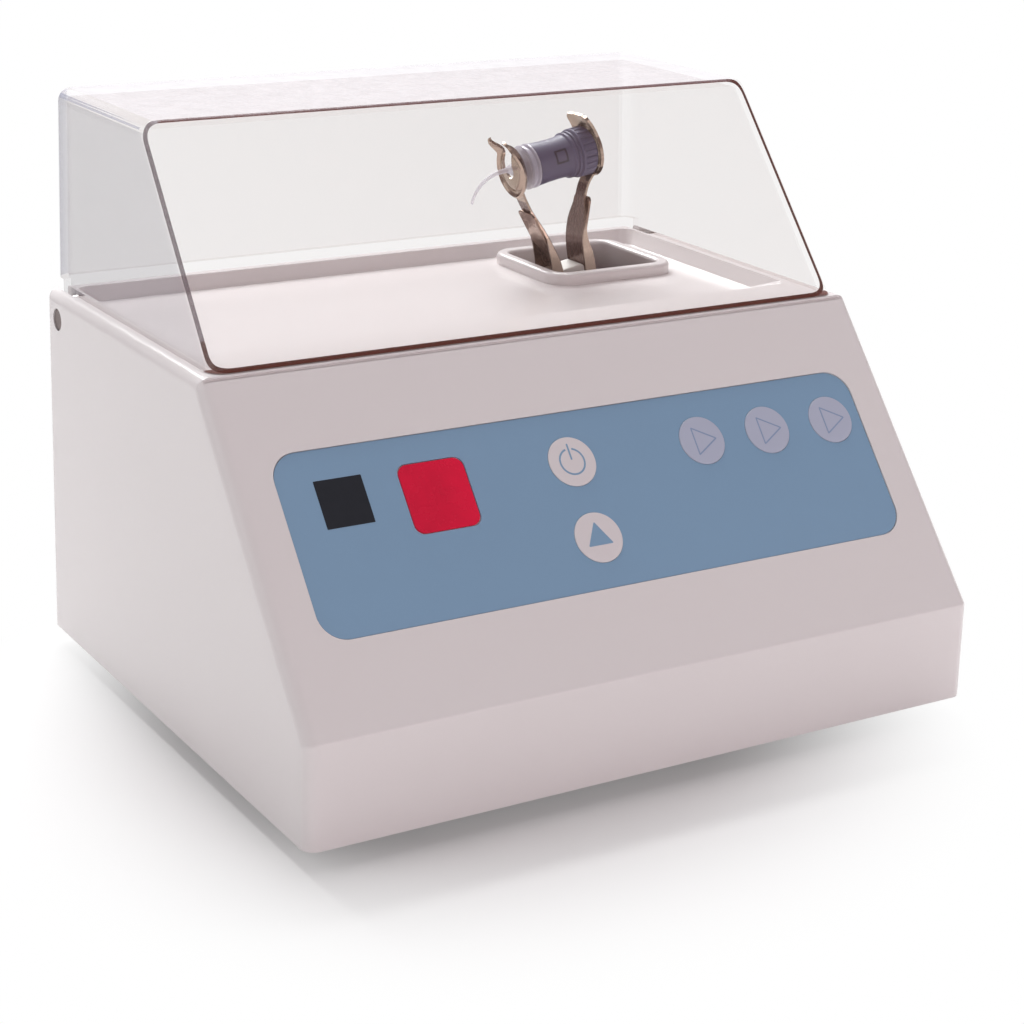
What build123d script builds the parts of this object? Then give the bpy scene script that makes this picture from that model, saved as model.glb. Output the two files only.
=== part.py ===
from build123d import *
from collections import namedtuple
import math
import os

os.makedirs("parts", exist_ok=True)

# Dental amalgamator: a bench mixer that shakes a capsule held in a rocking fork
# under a hinged clear lid. Sizes are in millimetres.
# Frame: X to the user's right, Y from the front to the back, Z up.
# The origin is the middle of the footprint, on the surface it stands on.

# ------------------------------------------------------------------ driving sizes
# Housing
WIDTH = 220.0
SIDE_DRAFT = 1.1
DEPTH = 184.0
BACK_DRAFT = 3.0
DECK_HEIGHT = 110.0
BAND_HEIGHT = 30.0
SLOPE_RUN = 66.5
WALL = 2.8
CORNER_RADIUS = 4.0
CREASE_RADIUS = 1.2
FOOT_HEIGHT = 6.0
GROOVE_WIDTH = 1.0
GROOVE_DEPTH = 0.8
VENT_COUNT = 9
VENT_PITCH = 6.5
VENT_WIDTH = 2.6
VENT_HEIGHT = 26.0

# Recess in the deck
RECESS_DEPTH = 4.5
RECESS_SIDE_MARGIN = 9.2
RECESS_FRONT = 86.0
RECESS_BACK_MARGIN = 7.0
RECESS_SIDE_SLOPE = 2.4
RECESS_FRONT_SLOPE = 13.0
RECESS_RADIUS = 4.0

# Collar round the opening that the fork comes up through
COLLAR_FROM_RIGHT = 45.0
COLLAR_FROM_BACK = 34.0
COLLAR_LENGTH = 47.0
COLLAR_DEPTH = 43.0
COLLAR_HEIGHT = 3.7
COLLAR_SKIRT = 3.0
COLLAR_WALL = 4.2
COLLAR_RADIUS = 8.0
COLLAR_EDGE_RADIUS = 1.3

# Lid
LID_HEIGHT = 60.0
LID_TOP_RUN = 116.2
LID_BACK_MARGIN = 1.0
LID_SIDE_MARGIN = 5.2
LID_DRAFT = 1.8
LID_WALL = 2.5
LID_RADIUS = 5.0
LID_CREASE_RADIUS = 2.0
LID_GAP = 0.3
LID_REAR_GAP = 3.2

# Lid hinge
HINGE_FROM_BACK = 12.6
HINGE_DROP = 7.9
PIN_DIAMETER = 4.0
PIN_HEAD_DIAMETER = 6.5
PIN_HEAD = 1.2
PIN_SINK = 0.3
EAR_RADIUS = 5.0
EAR_CLEARANCE = 0.6
HINGE_CHEEK = 3.4
MAGNET_DIAMETER = 4.0
PIN_HEAD_RADIUS = 0.4
MAGNET_LENGTH = 1.6
SENSOR_SIZE = 6.0

# Keypad on the slope, measured up the slope from its front edge
PANEL_MARGIN = 13.8
PANEL_LOW = 26.0
PANEL_HIGH = 79.4
PANEL_RADIUS = 8.0
OVERLAY = 0.6
OVERLAY_CLEARANCE = 0.2
PANEL_SINK = 0.3
KEY_DIAMETER = 15.0
KEY_GAP = 0.1
KEY_TRAVEL = 0.4
KEY_THICKNESS = 1.2
KEY_PROUD = 0.2
KEY_STEM = 5.0
UPPER_ROW = 64.3
LOWER_ROW = 41.0
LEFT_KEYS_X = -6.3
PROGRAM_FROM_RIGHT = 10.9
PROGRAM_PITCH = 23.5
WINDOW_FROM_LEFT = 46.0
WINDOW_S = 61.0
WINDOW_SIZE = 20.2
WINDOW_RADIUS = 3.0
WINDOW_LEDGE = 1.6

# Boards
BOARD = 1.6
BOARD_DEPTH = 8.4
CONTROL_BOARD_MARGIN = 2.2
CONTROL_BOARD_WIDTH = 44.0
SWITCH_SIZE = 6.0
SWITCH_BODY = 3.5
PLUNGER_DIAMETER = 3.5
PLUNGER = 0.5
POWER_BOARD_LENGTH = 84.0
POWER_BOARD_WIDTH = 52.0
POWER_BOARD_FROM_RIGHT = 82.0
POWER_BOARD_FROM_FRONT = 36.0
BOARD_SCREW_LENGTH = 6.0
STANDOFF = 6.0
STANDOFF_DIAMETER = 7.0
CAPACITOR_DIAMETER = 18.0
CAPACITOR_HEIGHT = 26.0

# Base, feet and fasteners
BASE = 3.0
FIT = 0.3
FOOT_DIAMETER = 16.0
FOOT_TAPER = 1.0
FOOT_INSET_X = 24.0
FOOT_INSET_Y = 24.0
BOSS_DIAMETER = 9.0
BOSS_INSET_X = 10.0
BOSS_INSET_Y = 13.0
SCREW_DIAMETER = 3.0
SCREW_HEAD = 5.6
SCREW_HEAD_HEIGHT = 2.0
SCREW_HEAD_RADIUS = 0.6
CROSS_LENGTH = 2.8
CROSS_WIDTH = 0.7
SCREW_TAP = 0.01
SCREW_PASS = 0.1
HOUSING_SCREW_REACH = 14.0
PILOT_DEPTH = 18.0
BASE_VENT_COUNT = 8
BASE_VENT_PITCH = 7.0
BASE_VENT_WIDTH = 3.0
BASE_VENT_LENGTH = 34.0

# Motor and its bracket
PIVOT_DROP = 40.0
LEAN = 10.0
RUNNING_FIT = 0.04
SHAFT_DIAMETER = 8.0
MOTOR_DIAMETER = 48.0
MOTOR_WALL = 1.6
MOTOR_LENGTH = 72.0
END_BELL = 6.0
MAGNET = 3.0
AIR_GAP = 0.8
BEARING_DIAMETER = 16.0
BEARING_WIDTH = 5.0
BRACKET_PLATE = 3.0
BRACKET_HALF_WIDTH = 26.0
UPRIGHT_LEFT = -32.0
UPRIGHT_RIGHT = 20.0
ISOLATOR_DIAMETER = 12.0
ISOLATOR_HEIGHT = 10.0
FAN_DIAMETER = 42.0
FAN_WIDTH = 8.0
FAN_BLADES = 7
FAN_PLATE = 1.2
BLADE_THICKNESS = 1.4
MOTOR_SCREW_INSET = 9.0
BELL_WINDOWS = 6
BELL_WINDOW_DIAMETER = 5.2
ROTOR_TEETH = 5
ROTOR_SLOT = 2.4
ROTOR_CLEARANCE = 7.0
COMMUTATOR_LENGTH = 10.0
BEARING_GROOVE = 0.5
BEARING_RACE = 1.4
SHAFT_PASS = 0.6
SHAFT_TAIL = 2.0
BRUSH_GAP = 2.0
MAGNET_OVERLAP = 2.0
POLE_GAP = 16.0
ISOLATOR_LIP = 2.5
ISOLATOR_WAIST = 1.5
NUT_HEIGHT = 2.4

# Rocking fork, in its own upright frame with the pivot as origin
JOURNAL_DIAMETER = 14.0
JOURNAL_LENGTH = 18.0
HUB_BEARING_DIAMETER = 24.0
HUB_BEARING_WIDTH = 6.0
HUB_DIAMETER = 32.0
HUB_WIDTH = 18.0
POST_THICKNESS = 8.0
POST_WIDTH = 13.0
POST_TOP = 41.0
ARM_THICKNESS = 0.9
LEAF_THICKNESS = 0.7
ARM_WIDTH = 10.0
NECK_WIDTH = 5.5
CLIP_DIAMETER = 17.5
CLIP_HEIGHT = 73.3
ARM_ROOT = 20.0
EAR_REACH = 22.0
EAR_DROP = 5.0
LIP_RISE = 4.2
LIP_WIDTH = 12.5
NOTCH = 7.0
Arm = namedtuple("Arm", "side bend neck reach cup dip lip")
LEFT_ARM = Arm(side=-1, bend=39.5, neck=13.0, reach=15.9, cup=16.0, dip=0.4, lip=5.2)
RIGHT_ARM = Arm(side=1, bend=45.0, neck=10.2, reach=16.6, cup=14.5, dip=1.6, lip=-0.8)
LEAF_TOP = 58.5
LEAF_GAP = 0.05
LEAF_WIDTH = 9.4
SPRING_DIAMETER = 6.0
SPRING_WIRE = 0.9
SPRING_LEG = 2.3
SPRING_HOOK = 1.7
SPRING_END = 4.5
LUG_THICKNESS = 2.0
LUG_WIDTH = 6.0
LUG_HOLE_DIAMETER = 2.4
RING_WIDTH = 1.0
RING_BITE = 0.6
COUNTERWEIGHT_DIAMETER = 30.4
COUNTERWEIGHT_LENGTH = 7.0

# Capsule, along its own axis from the fork's middle plane
CAPSULE_DIAMETER = 12.6
CAPSULE_LEFT = -8.0
CAP_DIAMETER = 16.0
CAP_LEFT = 7.0
CAP_RIGHT = 13.1
KNURLS = 24
COLLAR_RING_DIAMETER = 14.4
NOZZLE_SHOULDER = -14.4
NOZZLE_DIAMETER = 1.5
NOZZLE_REACH = 13.5

# Mains inlet, fuse drawer and transformer
INLET_FROM_LEFT = 40.0
INLET_HEIGHT = 34.0
FLANGE_WIDTH = 50.0
FLANGE_HEIGHT = 38.0
FLANGE = 2.5
FLANGE_SINK = 3.2
INLET_WIDTH = 27.0
INLET_BODY_HEIGHT = 33.0
INLET_LENGTH = 24.0
SOCKET_WIDTH = 24.4
SOCKET_HEIGHT = 16.4
SOCKET_DEPTH = 17.0
SOCKET_RISE = 6.0
PLUG_PIN_LENGTH = 15.0
DRAWER_WIDTH = 20.0
DRAWER_HEIGHT = 9.0
DRAWER_LENGTH = 20.0
DRAWER_DROP = 10.6
DRAWER_GAP = 0.3
FUSE_DIAMETER = 5.0
FUSE_LENGTH = 15.0
FUSE_CAP = 5.0
FUSE_GLASS_STEP = 0.3
FUSE_CLEARANCE = 0.1
FLANGE_SCREW_INSET = 5.5
INLET_SCREW_LENGTH = 5.5
PLUG_PIN_SPACING = 7.0
PLUG_PIN_WIDTH = 2.0
PLUG_PIN_HEIGHT = 4.0
PLUG_PIN_STEP = 2.0
CORE_LENGTH = 54.0
CORE_DEPTH = 30.0
CORE_HEIGHT = 46.0
CORE_FROM_LEFT = 44.0
CORE_FROM_BACK = 86.0
WINDING_DEPTH = 46.0

# ------------------------------------------------------------------ derived places
Y_FRONT = -DEPTH / 2
Z_EDGE = FOOT_HEIGHT
Z_DECK = Z_EDGE + DECK_HEIGHT
Z_FLOOR = Z_DECK - RECESS_DEPTH
Z_BASE_TOP = Z_EDGE + BASE
HALF_WIDTH = WIDTH / 2
Y_BACK = DEPTH / 2
RECESS_HALF_WIDTH = HALF_WIDTH - RECESS_SIDE_MARGIN
RECESS_FRONT_Y = Y_FRONT + RECESS_FRONT
RECESS_BACK_Y = Y_BACK - RECESS_BACK_MARGIN
COLLAR_X = HALF_WIDTH - COLLAR_FROM_RIGHT
COLLAR_Y = Y_BACK - COLLAR_FROM_BACK
LID_HALF_WIDTH = HALF_WIDTH - LID_SIDE_MARGIN
LID_BACK_Y = Y_BACK - LID_BACK_MARGIN
PANEL_HALF_WIDTH = HALF_WIDTH - PANEL_MARGIN
PROGRAM_X = PANEL_HALF_WIDTH - PROGRAM_FROM_RIGHT
WINDOW_X = WINDOW_FROM_LEFT - PANEL_HALF_WIDTH
CONTROL_BOARD_LENGTH = 2 * (PANEL_HALF_WIDTH - CONTROL_BOARD_MARGIN)
POWER_BOARD_X = HALF_WIDTH - POWER_BOARD_FROM_RIGHT
POWER_BOARD_Y = Y_FRONT + POWER_BOARD_FROM_FRONT
INLET_X = INLET_FROM_LEFT - HALF_WIDTH
CORE_X = CORE_FROM_LEFT - HALF_WIDTH
CORE_Y = Y_BACK - CORE_FROM_BACK
SLOPE_RISE = DECK_HEIGHT - BAND_HEIGHT
SLOPE_LENGTH = math.hypot(SLOPE_RUN, SLOPE_RISE)
SLOPE_ANGLE = math.atan2(SLOPE_RISE, SLOPE_RUN)
SLOPE = Plane(
    origin=(0, Y_FRONT, Z_EDGE + BAND_HEIGHT),
    x_dir=(1, 0, 0),
    z_dir=(0, -math.sin(SLOPE_ANGLE), math.cos(SLOPE_ANGLE)),
)
PIVOT = Vector(COLLAR_X, COLLAR_Y, Z_DECK - PIVOT_DROP)
FORK = Pos(PIVOT) * Rot(0, -LEAN, 0)
SHAFT = Pos(PIVOT)
CAPSULE = FORK * Pos(0, 0, CLIP_HEIGHT)
HINGE = Vector(0, Y_BACK - HINGE_FROM_BACK, Z_DECK - HINGE_DROP)
KEYS = {
    "key_power": (LEFT_KEYS_X, UPPER_ROW),
    "key_start": (LEFT_KEYS_X, LOWER_ROW),
    "key_program_1": (PROGRAM_X - 2 * PROGRAM_PITCH, UPPER_ROW),
    "key_program_2": (PROGRAM_X - PROGRAM_PITCH, UPPER_ROW),
    "key_program_3": (PROGRAM_X, UPPER_ROW),
}


# ------------------------------------------------------------------ helpers
def inset_outline(points, inset):
    """Corner points of a counter-clockwise outline with each side moved in by its own inset."""
    count = len(points)
    moved = []
    for i in range(count):
        (ay, az), (by, bz) = points[i], points[(i + 1) % count]
        length = math.hypot(by - ay, bz - az)
        ny, nz = -(bz - az) / length, (by - ay) / length
        moved.append(((ay + ny * inset[i], az + nz * inset[i]), (by - ay, bz - az)))
    corners = []
    for i in range(count):
        (p, d), (q, e) = moved[i - 1], moved[i]
        cross = d[0] * e[1] - d[1] * e[0]
        t = ((q[0] - p[0]) * e[1] - (q[1] - p[1]) * e[0]) / cross
        corners.append((p[0] + d[0] * t, p[1] + d[1] * t))
    return corners


def wedge(outline, half_low, half_high, z_low, z_high):
    """Side-view outline run across the width between two sides that lean in with height."""
    side = Face(Wire.make_polygon([(0, y, z) for y, z in outline], close=True))
    body = extrude(side, amount=half_low * 2, dir=(1, 0, 0), both=True)
    lean = (half_low - half_high) / (z_high - z_low)
    ys = [y for y, z in outline]
    zs = [z for y, z in outline]
    low, high = min(zs) - 1, max(zs) + 1
    wide = half_low + lean * (z_low - low)
    narrow = half_low + lean * (z_low - high)
    corners = [(-wide, low), (wide, low), (narrow, high), (-narrow, high)]
    front = Face(Wire.make_polygon([(x, min(ys) - 1, z) for x, z in corners], close=True))
    return body & extrude(front, amount=max(ys) - min(ys) + 2, dir=(0, 1, 0))


def side_edges(body, z_open):
    """Edges round both side faces, apart from the ones along the open bottom."""
    chosen = ShapeList()
    for face in body.faces():
        if abs(face.normal_at().X) > 0.9:
            chosen += [e for e in face.edges() if e.center().Z > z_open + 0.01]
    return chosen


def creases(body, z_open):
    """Edges that run across nearly the whole width, apart from the ones at the open bottom."""
    long = [e for e in body.edges().filter_by(Axis.X) if e.length > WIDTH / 2]
    return ShapeList(e for e in long if e.center().Z > z_open + 0.01)


def bar_x(radius, x_low, x_high):
    """Round bar along X."""
    return Pos((x_low + x_high) / 2, 0, 0) * Rot(0, 90, 0) * Cylinder(radius, x_high - x_low)


def ring_x(outer, inner, x_low, x_high):
    return bar_x(outer, x_low, x_high) - bar_x(inner, x_low - 1, x_high + 1)


def block(x_low, x_high, y_low, y_high, z_low, z_high):
    size = (x_high - x_low, y_high - y_low, z_high - z_low)
    middle = ((x_low + x_high) / 2, (y_low + y_high) / 2, (z_low + z_high) / 2)
    return Pos(*middle) * Box(*size)


def upright_bar(radius, x, y, z_low, z_high):
    return Pos(x, y, (z_low + z_high) / 2) * Cylinder(radius, z_high - z_low)


def save(node, *solids):
    """Write a node: one solid, or a group of separate ones."""
    found = []
    for shape in solids:
        found += list(shape.solids())
    export_step(found[0] if len(found) == 1 else Compound(children=found), f"parts/{node}.step")


def mirrored_x(solid):
    return mirror(solid, about=Plane.YZ)


# ------------------------------------------------------------------ housing
HOUSING_OUTLINE = [
    (Y_FRONT, Z_EDGE),
    (Y_BACK, Z_EDGE),
    (Y_BACK - BACK_DRAFT, Z_DECK),
    (Y_FRONT + SLOPE_RUN, Z_DECK),
    (Y_FRONT, Z_EDGE + BAND_HEIGHT),
]


def back_face_y(z):
    """Outer face of the back wall at a height."""
    return Y_BACK - BACK_DRAFT * (z - Z_EDGE) / DECK_HEIGHT


def side_face_x(z):
    return HALF_WIDTH - SIDE_DRAFT * (z - Z_EDGE) / DECK_HEIGHT


def rounded_block(x, y, z_low, z_high, length, depth, radius):
    face = Pos(x, y, z_low) * RectangleRounded(length, depth, radius)
    return extrude(face, amount=z_high - z_low)


def housing_shell():
    half_top = HALF_WIDTH - SIDE_DRAFT
    outer = wedge(HOUSING_OUTLINE, HALF_WIDTH, half_top, Z_EDGE, Z_DECK)
    outer = fillet(side_edges(outer, Z_EDGE), CORNER_RADIUS)
    outer = fillet(creases(outer, Z_EDGE).sort_by(Axis.Y)[::2], CREASE_RADIUS)
    inner_outline = inset_outline(HOUSING_OUTLINE, [-BASE] + [WALL] * 4)
    inner = wedge(inner_outline, HALF_WIDTH - WALL, half_top - WALL, Z_EDGE, Z_DECK)
    inner = fillet(side_edges(inner, Z_EDGE), CORNER_RADIUS - WALL)
    return outer - inner


def recess_cutter():
    """Tray cut down into the deck, with sloping walls and a longer slope at the front."""
    front, back = RECESS_FRONT_Y, RECESS_BACK_Y
    low_front, low_back = front + RECESS_FRONT_SLOPE, back - RECESS_SIDE_SLOPE
    low_half = RECESS_HALF_WIDTH - RECESS_SIDE_SLOPE
    top = Pos(0, (front + back) / 2, Z_DECK) * RectangleRounded(
        2 * RECESS_HALF_WIDTH, back - front, RECESS_RADIUS)
    floor = Pos(0, (low_front + low_back) / 2, Z_FLOOR) * RectangleRounded(
        2 * low_half, low_back - low_front, RECESS_RADIUS)
    return loft([floor, top])


def collar_ring():
    x, y = COLLAR_X, COLLAR_Y
    z_top = Z_FLOOR + COLLAR_HEIGHT
    z_low = Z_FLOOR - WALL - COLLAR_SKIRT
    ring = rounded_block(x, y, z_low, z_top, COLLAR_LENGTH, COLLAR_DEPTH, COLLAR_RADIUS)
    ring -= collar_opening(z_low - 1, z_top + 1)
    rim = [e for e in ring.edges() if abs(e.center().Z - z_top) < 0.01]
    return fillet(ShapeList(rim), COLLAR_EDGE_RADIUS)


def collar_opening(z_low, z_high):
    return rounded_block(
        COLLAR_X, COLLAR_Y, z_low, z_high,
        COLLAR_LENGTH - 2 * COLLAR_WALL, COLLAR_DEPTH - 2 * COLLAR_WALL,
        COLLAR_RADIUS - COLLAR_WALL)


def hinge_pocket():
    """Block under each rear deck corner that holds the hinge pin."""
    inner = LID_HALF_WIDTH - LID_WALL - EAR_CLEARANCE - HINGE_CHEEK
    low = HINGE.Z - EAR_RADIUS - EAR_CLEARANCE - WALL
    front = HINGE.Y - EAR_RADIUS - EAR_CLEARANCE - WALL
    outer = HALF_WIDTH - WALL / 2 - SIDE_DRAFT
    return block(inner, outer, front, back_face_y(low) - WALL / 2, low, Z_DECK - WALL / 2)


def hinge_slot():
    """Slot that the lid's ear turns in, open at the top and at the back."""
    reach = EAR_RADIUS + EAR_CLEARANCE
    low = LID_HALF_WIDTH - LID_WALL - EAR_CLEARANCE
    high = LID_HALF_WIDTH + EAR_CLEARANCE
    return block(low, high, HINGE.Y - reach, Y_BACK + 1, HINGE.Z - reach, Z_DECK + 1)


def pin_bores():
    """Bore for the pin with a counterbore for its head."""
    inner = LID_HALF_WIDTH - LID_WALL - EAR_CLEARANCE - HINGE_CHEEK + 1
    face = side_face_x(HINGE.Z)
    seat = face - PIN_SINK - PIN_HEAD
    bore = bar_x(PIN_DIAMETER / 2, inner, face + 1)
    head = bar_x(PIN_HEAD_DIAMETER / 2 + FIT / 2, seat, face + 1)
    return Pos(0, HINGE.Y, HINGE.Z) * (bore + head)


def on_slope(x, s, solid):
    """Place a solid made at the origin onto the slope, its Z pointing out of the housing."""
    return SLOPE * Pos(x, s, 0) * solid


def plate_on_slope(length, width, radius, z_low, z_high):
    face = Pos(0, 0, z_low) * RectangleRounded(length, width, radius)
    return extrude(face, amount=z_high - z_low)


def panel_recess():
    middle = (PANEL_LOW + PANEL_HIGH) / 2
    length = 2 * (PANEL_HALF_WIDTH + OVERLAY_CLEARANCE)
    width = PANEL_HIGH - PANEL_LOW + 2 * OVERLAY_CLEARANCE
    cut = plate_on_slope(length, width, PANEL_RADIUS, -PANEL_SINK - OVERLAY, WALL)
    return on_slope(0, middle, cut)


def key_bore():
    """Counterbore the key travels in and the hole for its stem."""
    depth = KEY_THICKNESS - key_top() + KEY_TRAVEL + FIT / 2
    cup = Pos(0, 0, -depth / 2) * Cylinder(KEY_DIAMETER / 2 + KEY_GAP, depth)
    stem = Pos(0, 0, -WALL) * Cylinder(KEY_STEM / 2 + KEY_GAP, 2 * WALL)
    return cup + stem


def key_top():
    """Face of a key, measured out of the slope's face."""
    return KEY_PROUD - PANEL_SINK


def window_hole():
    ledge = WINDOW_SIZE - 2 * WINDOW_LEDGE
    return plate_on_slope(ledge, ledge, WINDOW_RADIUS - WINDOW_LEDGE, -2 * WALL, WALL)


def boss_places():
    x = HALF_WIDTH - BOSS_INSET_X
    y = DEPTH / 2 - BOSS_INSET_Y
    return [(x, -y), (-x, -y), (x, y), (-x, y)]


def screw_boss(x, y, z_high):
    """Boss with a web out to the side wall and a pilot hole for the housing screw."""
    side = math.copysign(1, x)
    low = Z_BASE_TOP
    boss = upright_bar(BOSS_DIAMETER / 2, x, y, low, z_high)
    wall_x = HALF_WIDTH - WALL / 2 - SIDE_DRAFT / 2
    web = block(min(x, side * wall_x), max(x, side * wall_x), y - 1, y + 1, low, z_high)
    return boss + web


def board_bosses():
    """Four bosses behind the slope that carry the control board."""
    bosses = []
    for x, s in board_screw_places():
        height = BOARD_DEPTH - BOARD
        boss = Pos(x, s, -height / 2 - WALL / 4) * Cylinder(STANDOFF_DIAMETER / 2, height - WALL / 2)
        bosses.append(SLOPE * boss)
    return bosses


def board_screw_places():
    x = CONTROL_BOARD_LENGTH / 2 - STANDOFF_DIAMETER / 2
    low = board_middle() - CONTROL_BOARD_WIDTH / 2 + STANDOFF_DIAMETER / 2
    high = board_middle() + CONTROL_BOARD_WIDTH / 2 - STANDOFF_DIAMETER / 2
    return [(x, low), (-x, low), (x, high), (-x, high)]


def board_middle():
    return (UPPER_ROW + LOWER_ROW) / 2


def rear_vents():
    """Row of upright slots low in the back wall."""
    start = COLLAR_X - VENT_PITCH * (VENT_COUNT - 1) / 2
    outline = Plane.XZ * SlotOverall(VENT_HEIGHT, VENT_WIDTH, rotation=90)
    slot = extrude(outline, amount=4 * WALL, both=True)
    z = Z_EDGE + INLET_HEIGHT
    return [Pos(start + VENT_PITCH * i, back_face_y(z), z) * slot for i in range(VENT_COUNT)]


def flange_pocket(clearance, depth):
    """Pocket in the back wall that the inlet's flange lies in."""
    z = Z_EDGE + INLET_HEIGHT
    outer = Y_BACK + 1
    inner = flange_seat_y() + FLANGE_SINK - depth
    return block(
        INLET_X - FLANGE_WIDTH / 2 - clearance, INLET_X + FLANGE_WIDTH / 2 + clearance,
        inner, outer, z - FLANGE_HEIGHT / 2 - clearance, z + FLANGE_HEIGHT / 2 + clearance)


def flange_seat_y():
    """Face that the inlet's flange sits against."""
    return back_face_y(Z_EDGE + INLET_HEIGHT + FLANGE_HEIGHT / 2) - FLANGE_SINK


def inlet_hole():
    z = Z_EDGE + INLET_HEIGHT
    return block(
        INLET_X - INLET_WIDTH / 2 - FIT, INLET_X + INLET_WIDTH / 2 + FIT,
        flange_seat_y() - 3 * WALL, Y_BACK + 1,
        z - INLET_BODY_HEIGHT / 2 - FIT, z + INLET_BODY_HEIGHT / 2 + FIT)


def inlet_screw_x():
    reach = FLANGE_WIDTH / 2 - FLANGE_SCREW_INSET
    return [INLET_X - reach, INLET_X + reach]


def shadow_groove():
    """Narrow groove where the slope meets the deck's front edge."""
    cut = Box(WIDTH + 2, GROOVE_WIDTH, 2 * GROOVE_DEPTH)
    return on_slope(0, SLOPE_LENGTH - GROOVE_WIDTH, cut)


def upper_housing():
    body = housing_shell()
    z_under = Z_FLOOR - WALL
    tray = block(
        -RECESS_HALF_WIDTH - WALL, RECESS_HALF_WIDTH + WALL,
        RECESS_FRONT_Y - WALL, RECESS_BACK_Y + WALL / 2, z_under, Z_DECK - WALL / 2)
    body += tray
    pocket = hinge_pocket()
    body += [pocket, mirrored_x(pocket)]
    for x, y in boss_places():
        z_high = Z_EDGE + BAND_HEIGHT + WALL if y < 0 else Z_EDGE + DECK_HEIGHT / 2
        body += screw_boss(x, y, z_high)
    seat = flange_pocket(WALL, FLANGE_SINK + WALL) & housing_blank()
    body += seat
    body += board_bosses()
    body -= recess_cutter()
    body += collar_ring()
    body -= collar_opening(Z_DECK - WALL - RECESS_DEPTH - COLLAR_SKIRT - 1, Z_DECK)
    slot, bore = hinge_slot(), pin_bores()
    body -= [slot, mirrored_x(slot), bore, mirrored_x(bore)]
    body -= [panel_recess(), shadow_groove(), on_slope(WINDOW_X, WINDOW_S, window_hole())]
    body -= [on_slope(x, s, key_bore()) for x, s in KEYS.values()]
    body -= rear_vents()
    body -= [flange_pocket(FIT, FLANGE_SINK), inlet_hole()]
    for x, y in boss_places():
        body -= upright_bar(SCREW_DIAMETER / 2, x, y, Z_BASE_TOP - 1, Z_BASE_TOP + PILOT_DEPTH)
    for x, s in board_screw_places():
        body -= SLOPE * Pos(x, s, -BOARD_DEPTH + BOARD) * Cylinder(SCREW_DIAMETER / 2, 8)
    for x in inlet_screw_x():
        z = Z_EDGE + INLET_HEIGHT
        body -= Pos(x, flange_seat_y(), z) * Rot(90, 0, 0) * Cylinder(SCREW_DIAMETER / 2, 4 * WALL)
    return body


def housing_blank():
    """Solid housing without its hollow, to trim what is added inside."""
    return wedge(HOUSING_OUTLINE, HALF_WIDTH - 1, HALF_WIDTH - SIDE_DRAFT - 1, Z_EDGE, Z_DECK)


# ------------------------------------------------------------------ base, feet and fasteners
def foot_places():
    x = HALF_WIDTH - FOOT_INSET_X
    y = DEPTH / 2 - FOOT_INSET_Y
    return [(x, -y), (-x, -y), (x, y), (-x, y)]


def isolator_places():
    x_low = PIVOT.X + UPRIGHT_LEFT - MOTOR_LENGTH + ISOLATOR_DIAMETER / 2
    x_high = PIVOT.X + UPRIGHT_RIGHT - ISOLATOR_DIAMETER / 2 - 1
    y = BRACKET_HALF_WIDTH - ISOLATOR_DIAMETER / 2
    return [(x, PIVOT.Y + side * y) for x in (x_low, x_high) for side in (-1, 1)]


def power_screw_places():
    x = POWER_BOARD_LENGTH / 2 - STANDOFF_DIAMETER / 2
    y = POWER_BOARD_WIDTH / 2 - STANDOFF_DIAMETER / 2
    return [(POWER_BOARD_X + i * x, POWER_BOARD_Y + j * y) for i in (-1, 1) for j in (-1, 1)]


def base_plate():
    gap = WALL + FIT
    outline = inset_outline(HOUSING_OUTLINE, [0] + [gap] * 4)
    plate = wedge(outline, HALF_WIDTH - gap, HALF_WIDTH - SIDE_DRAFT - gap, Z_EDGE, Z_DECK)
    plate &= block(-HALF_WIDTH, HALF_WIDTH, Y_FRONT, -Y_FRONT, Z_EDGE, Z_BASE_TOP)
    corners = [e for e in plate.edges() if abs((e % 0.5).Z) > 0.9]
    plate = fillet(ShapeList(corners), CORNER_RADIUS - WALL)
    for x, y in power_screw_places():
        plate += upright_bar(STANDOFF_DIAMETER / 2, x, y, Z_EDGE + BASE / 2, Z_BASE_TOP + STANDOFF)
        plate -= upright_bar(SCREW_DIAMETER / 2, x, y, Z_EDGE + 1, Z_BASE_TOP + STANDOFF + 1)
    for x, y in boss_places():
        plate -= upright_bar(SCREW_DIAMETER / 2 + FIT, x, y, Z_EDGE - 1, Z_BASE_TOP + 1)
        plate -= upright_bar(SCREW_HEAD / 2 + FIT, x, y, Z_EDGE - 1, Z_EDGE + SCREW_HEAD_HEIGHT)
    for x, y in foot_places() + isolator_places():
        plate -= upright_bar(SCREW_DIAMETER / 2, x, y, Z_EDGE - 1, Z_BASE_TOP + 1)
    slot = SlotOverall(BASE_VENT_LENGTH, BASE_VENT_WIDTH, rotation=90)
    slot = extrude(slot, amount=4 * BASE, both=True)
    start = PIVOT.X + UPRIGHT_LEFT - (MOTOR_LENGTH + BASE_VENT_PITCH * (BASE_VENT_COUNT - 1)) / 2
    for i in range(BASE_VENT_COUNT):
        plate -= Pos(start + BASE_VENT_PITCH * i, PIVOT.Y, Z_EDGE) * slot
    return plate


def feet():
    """Rubber feet, each a cone with a recess for its screw's head."""
    made = []
    for x, y in foot_places():
        foot = Pos(x, y, FOOT_HEIGHT / 2) * Cone(
            FOOT_DIAMETER / 2 - FOOT_TAPER, FOOT_DIAMETER / 2, FOOT_HEIGHT)
        foot -= upright_bar(SCREW_DIAMETER / 2, x, y, 0, FOOT_HEIGHT)
        foot -= upright_bar(SCREW_HEAD / 2 + FIT, x, y, 0, FOOT_HEIGHT / 2)
        made.append(foot)
    return made


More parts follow.
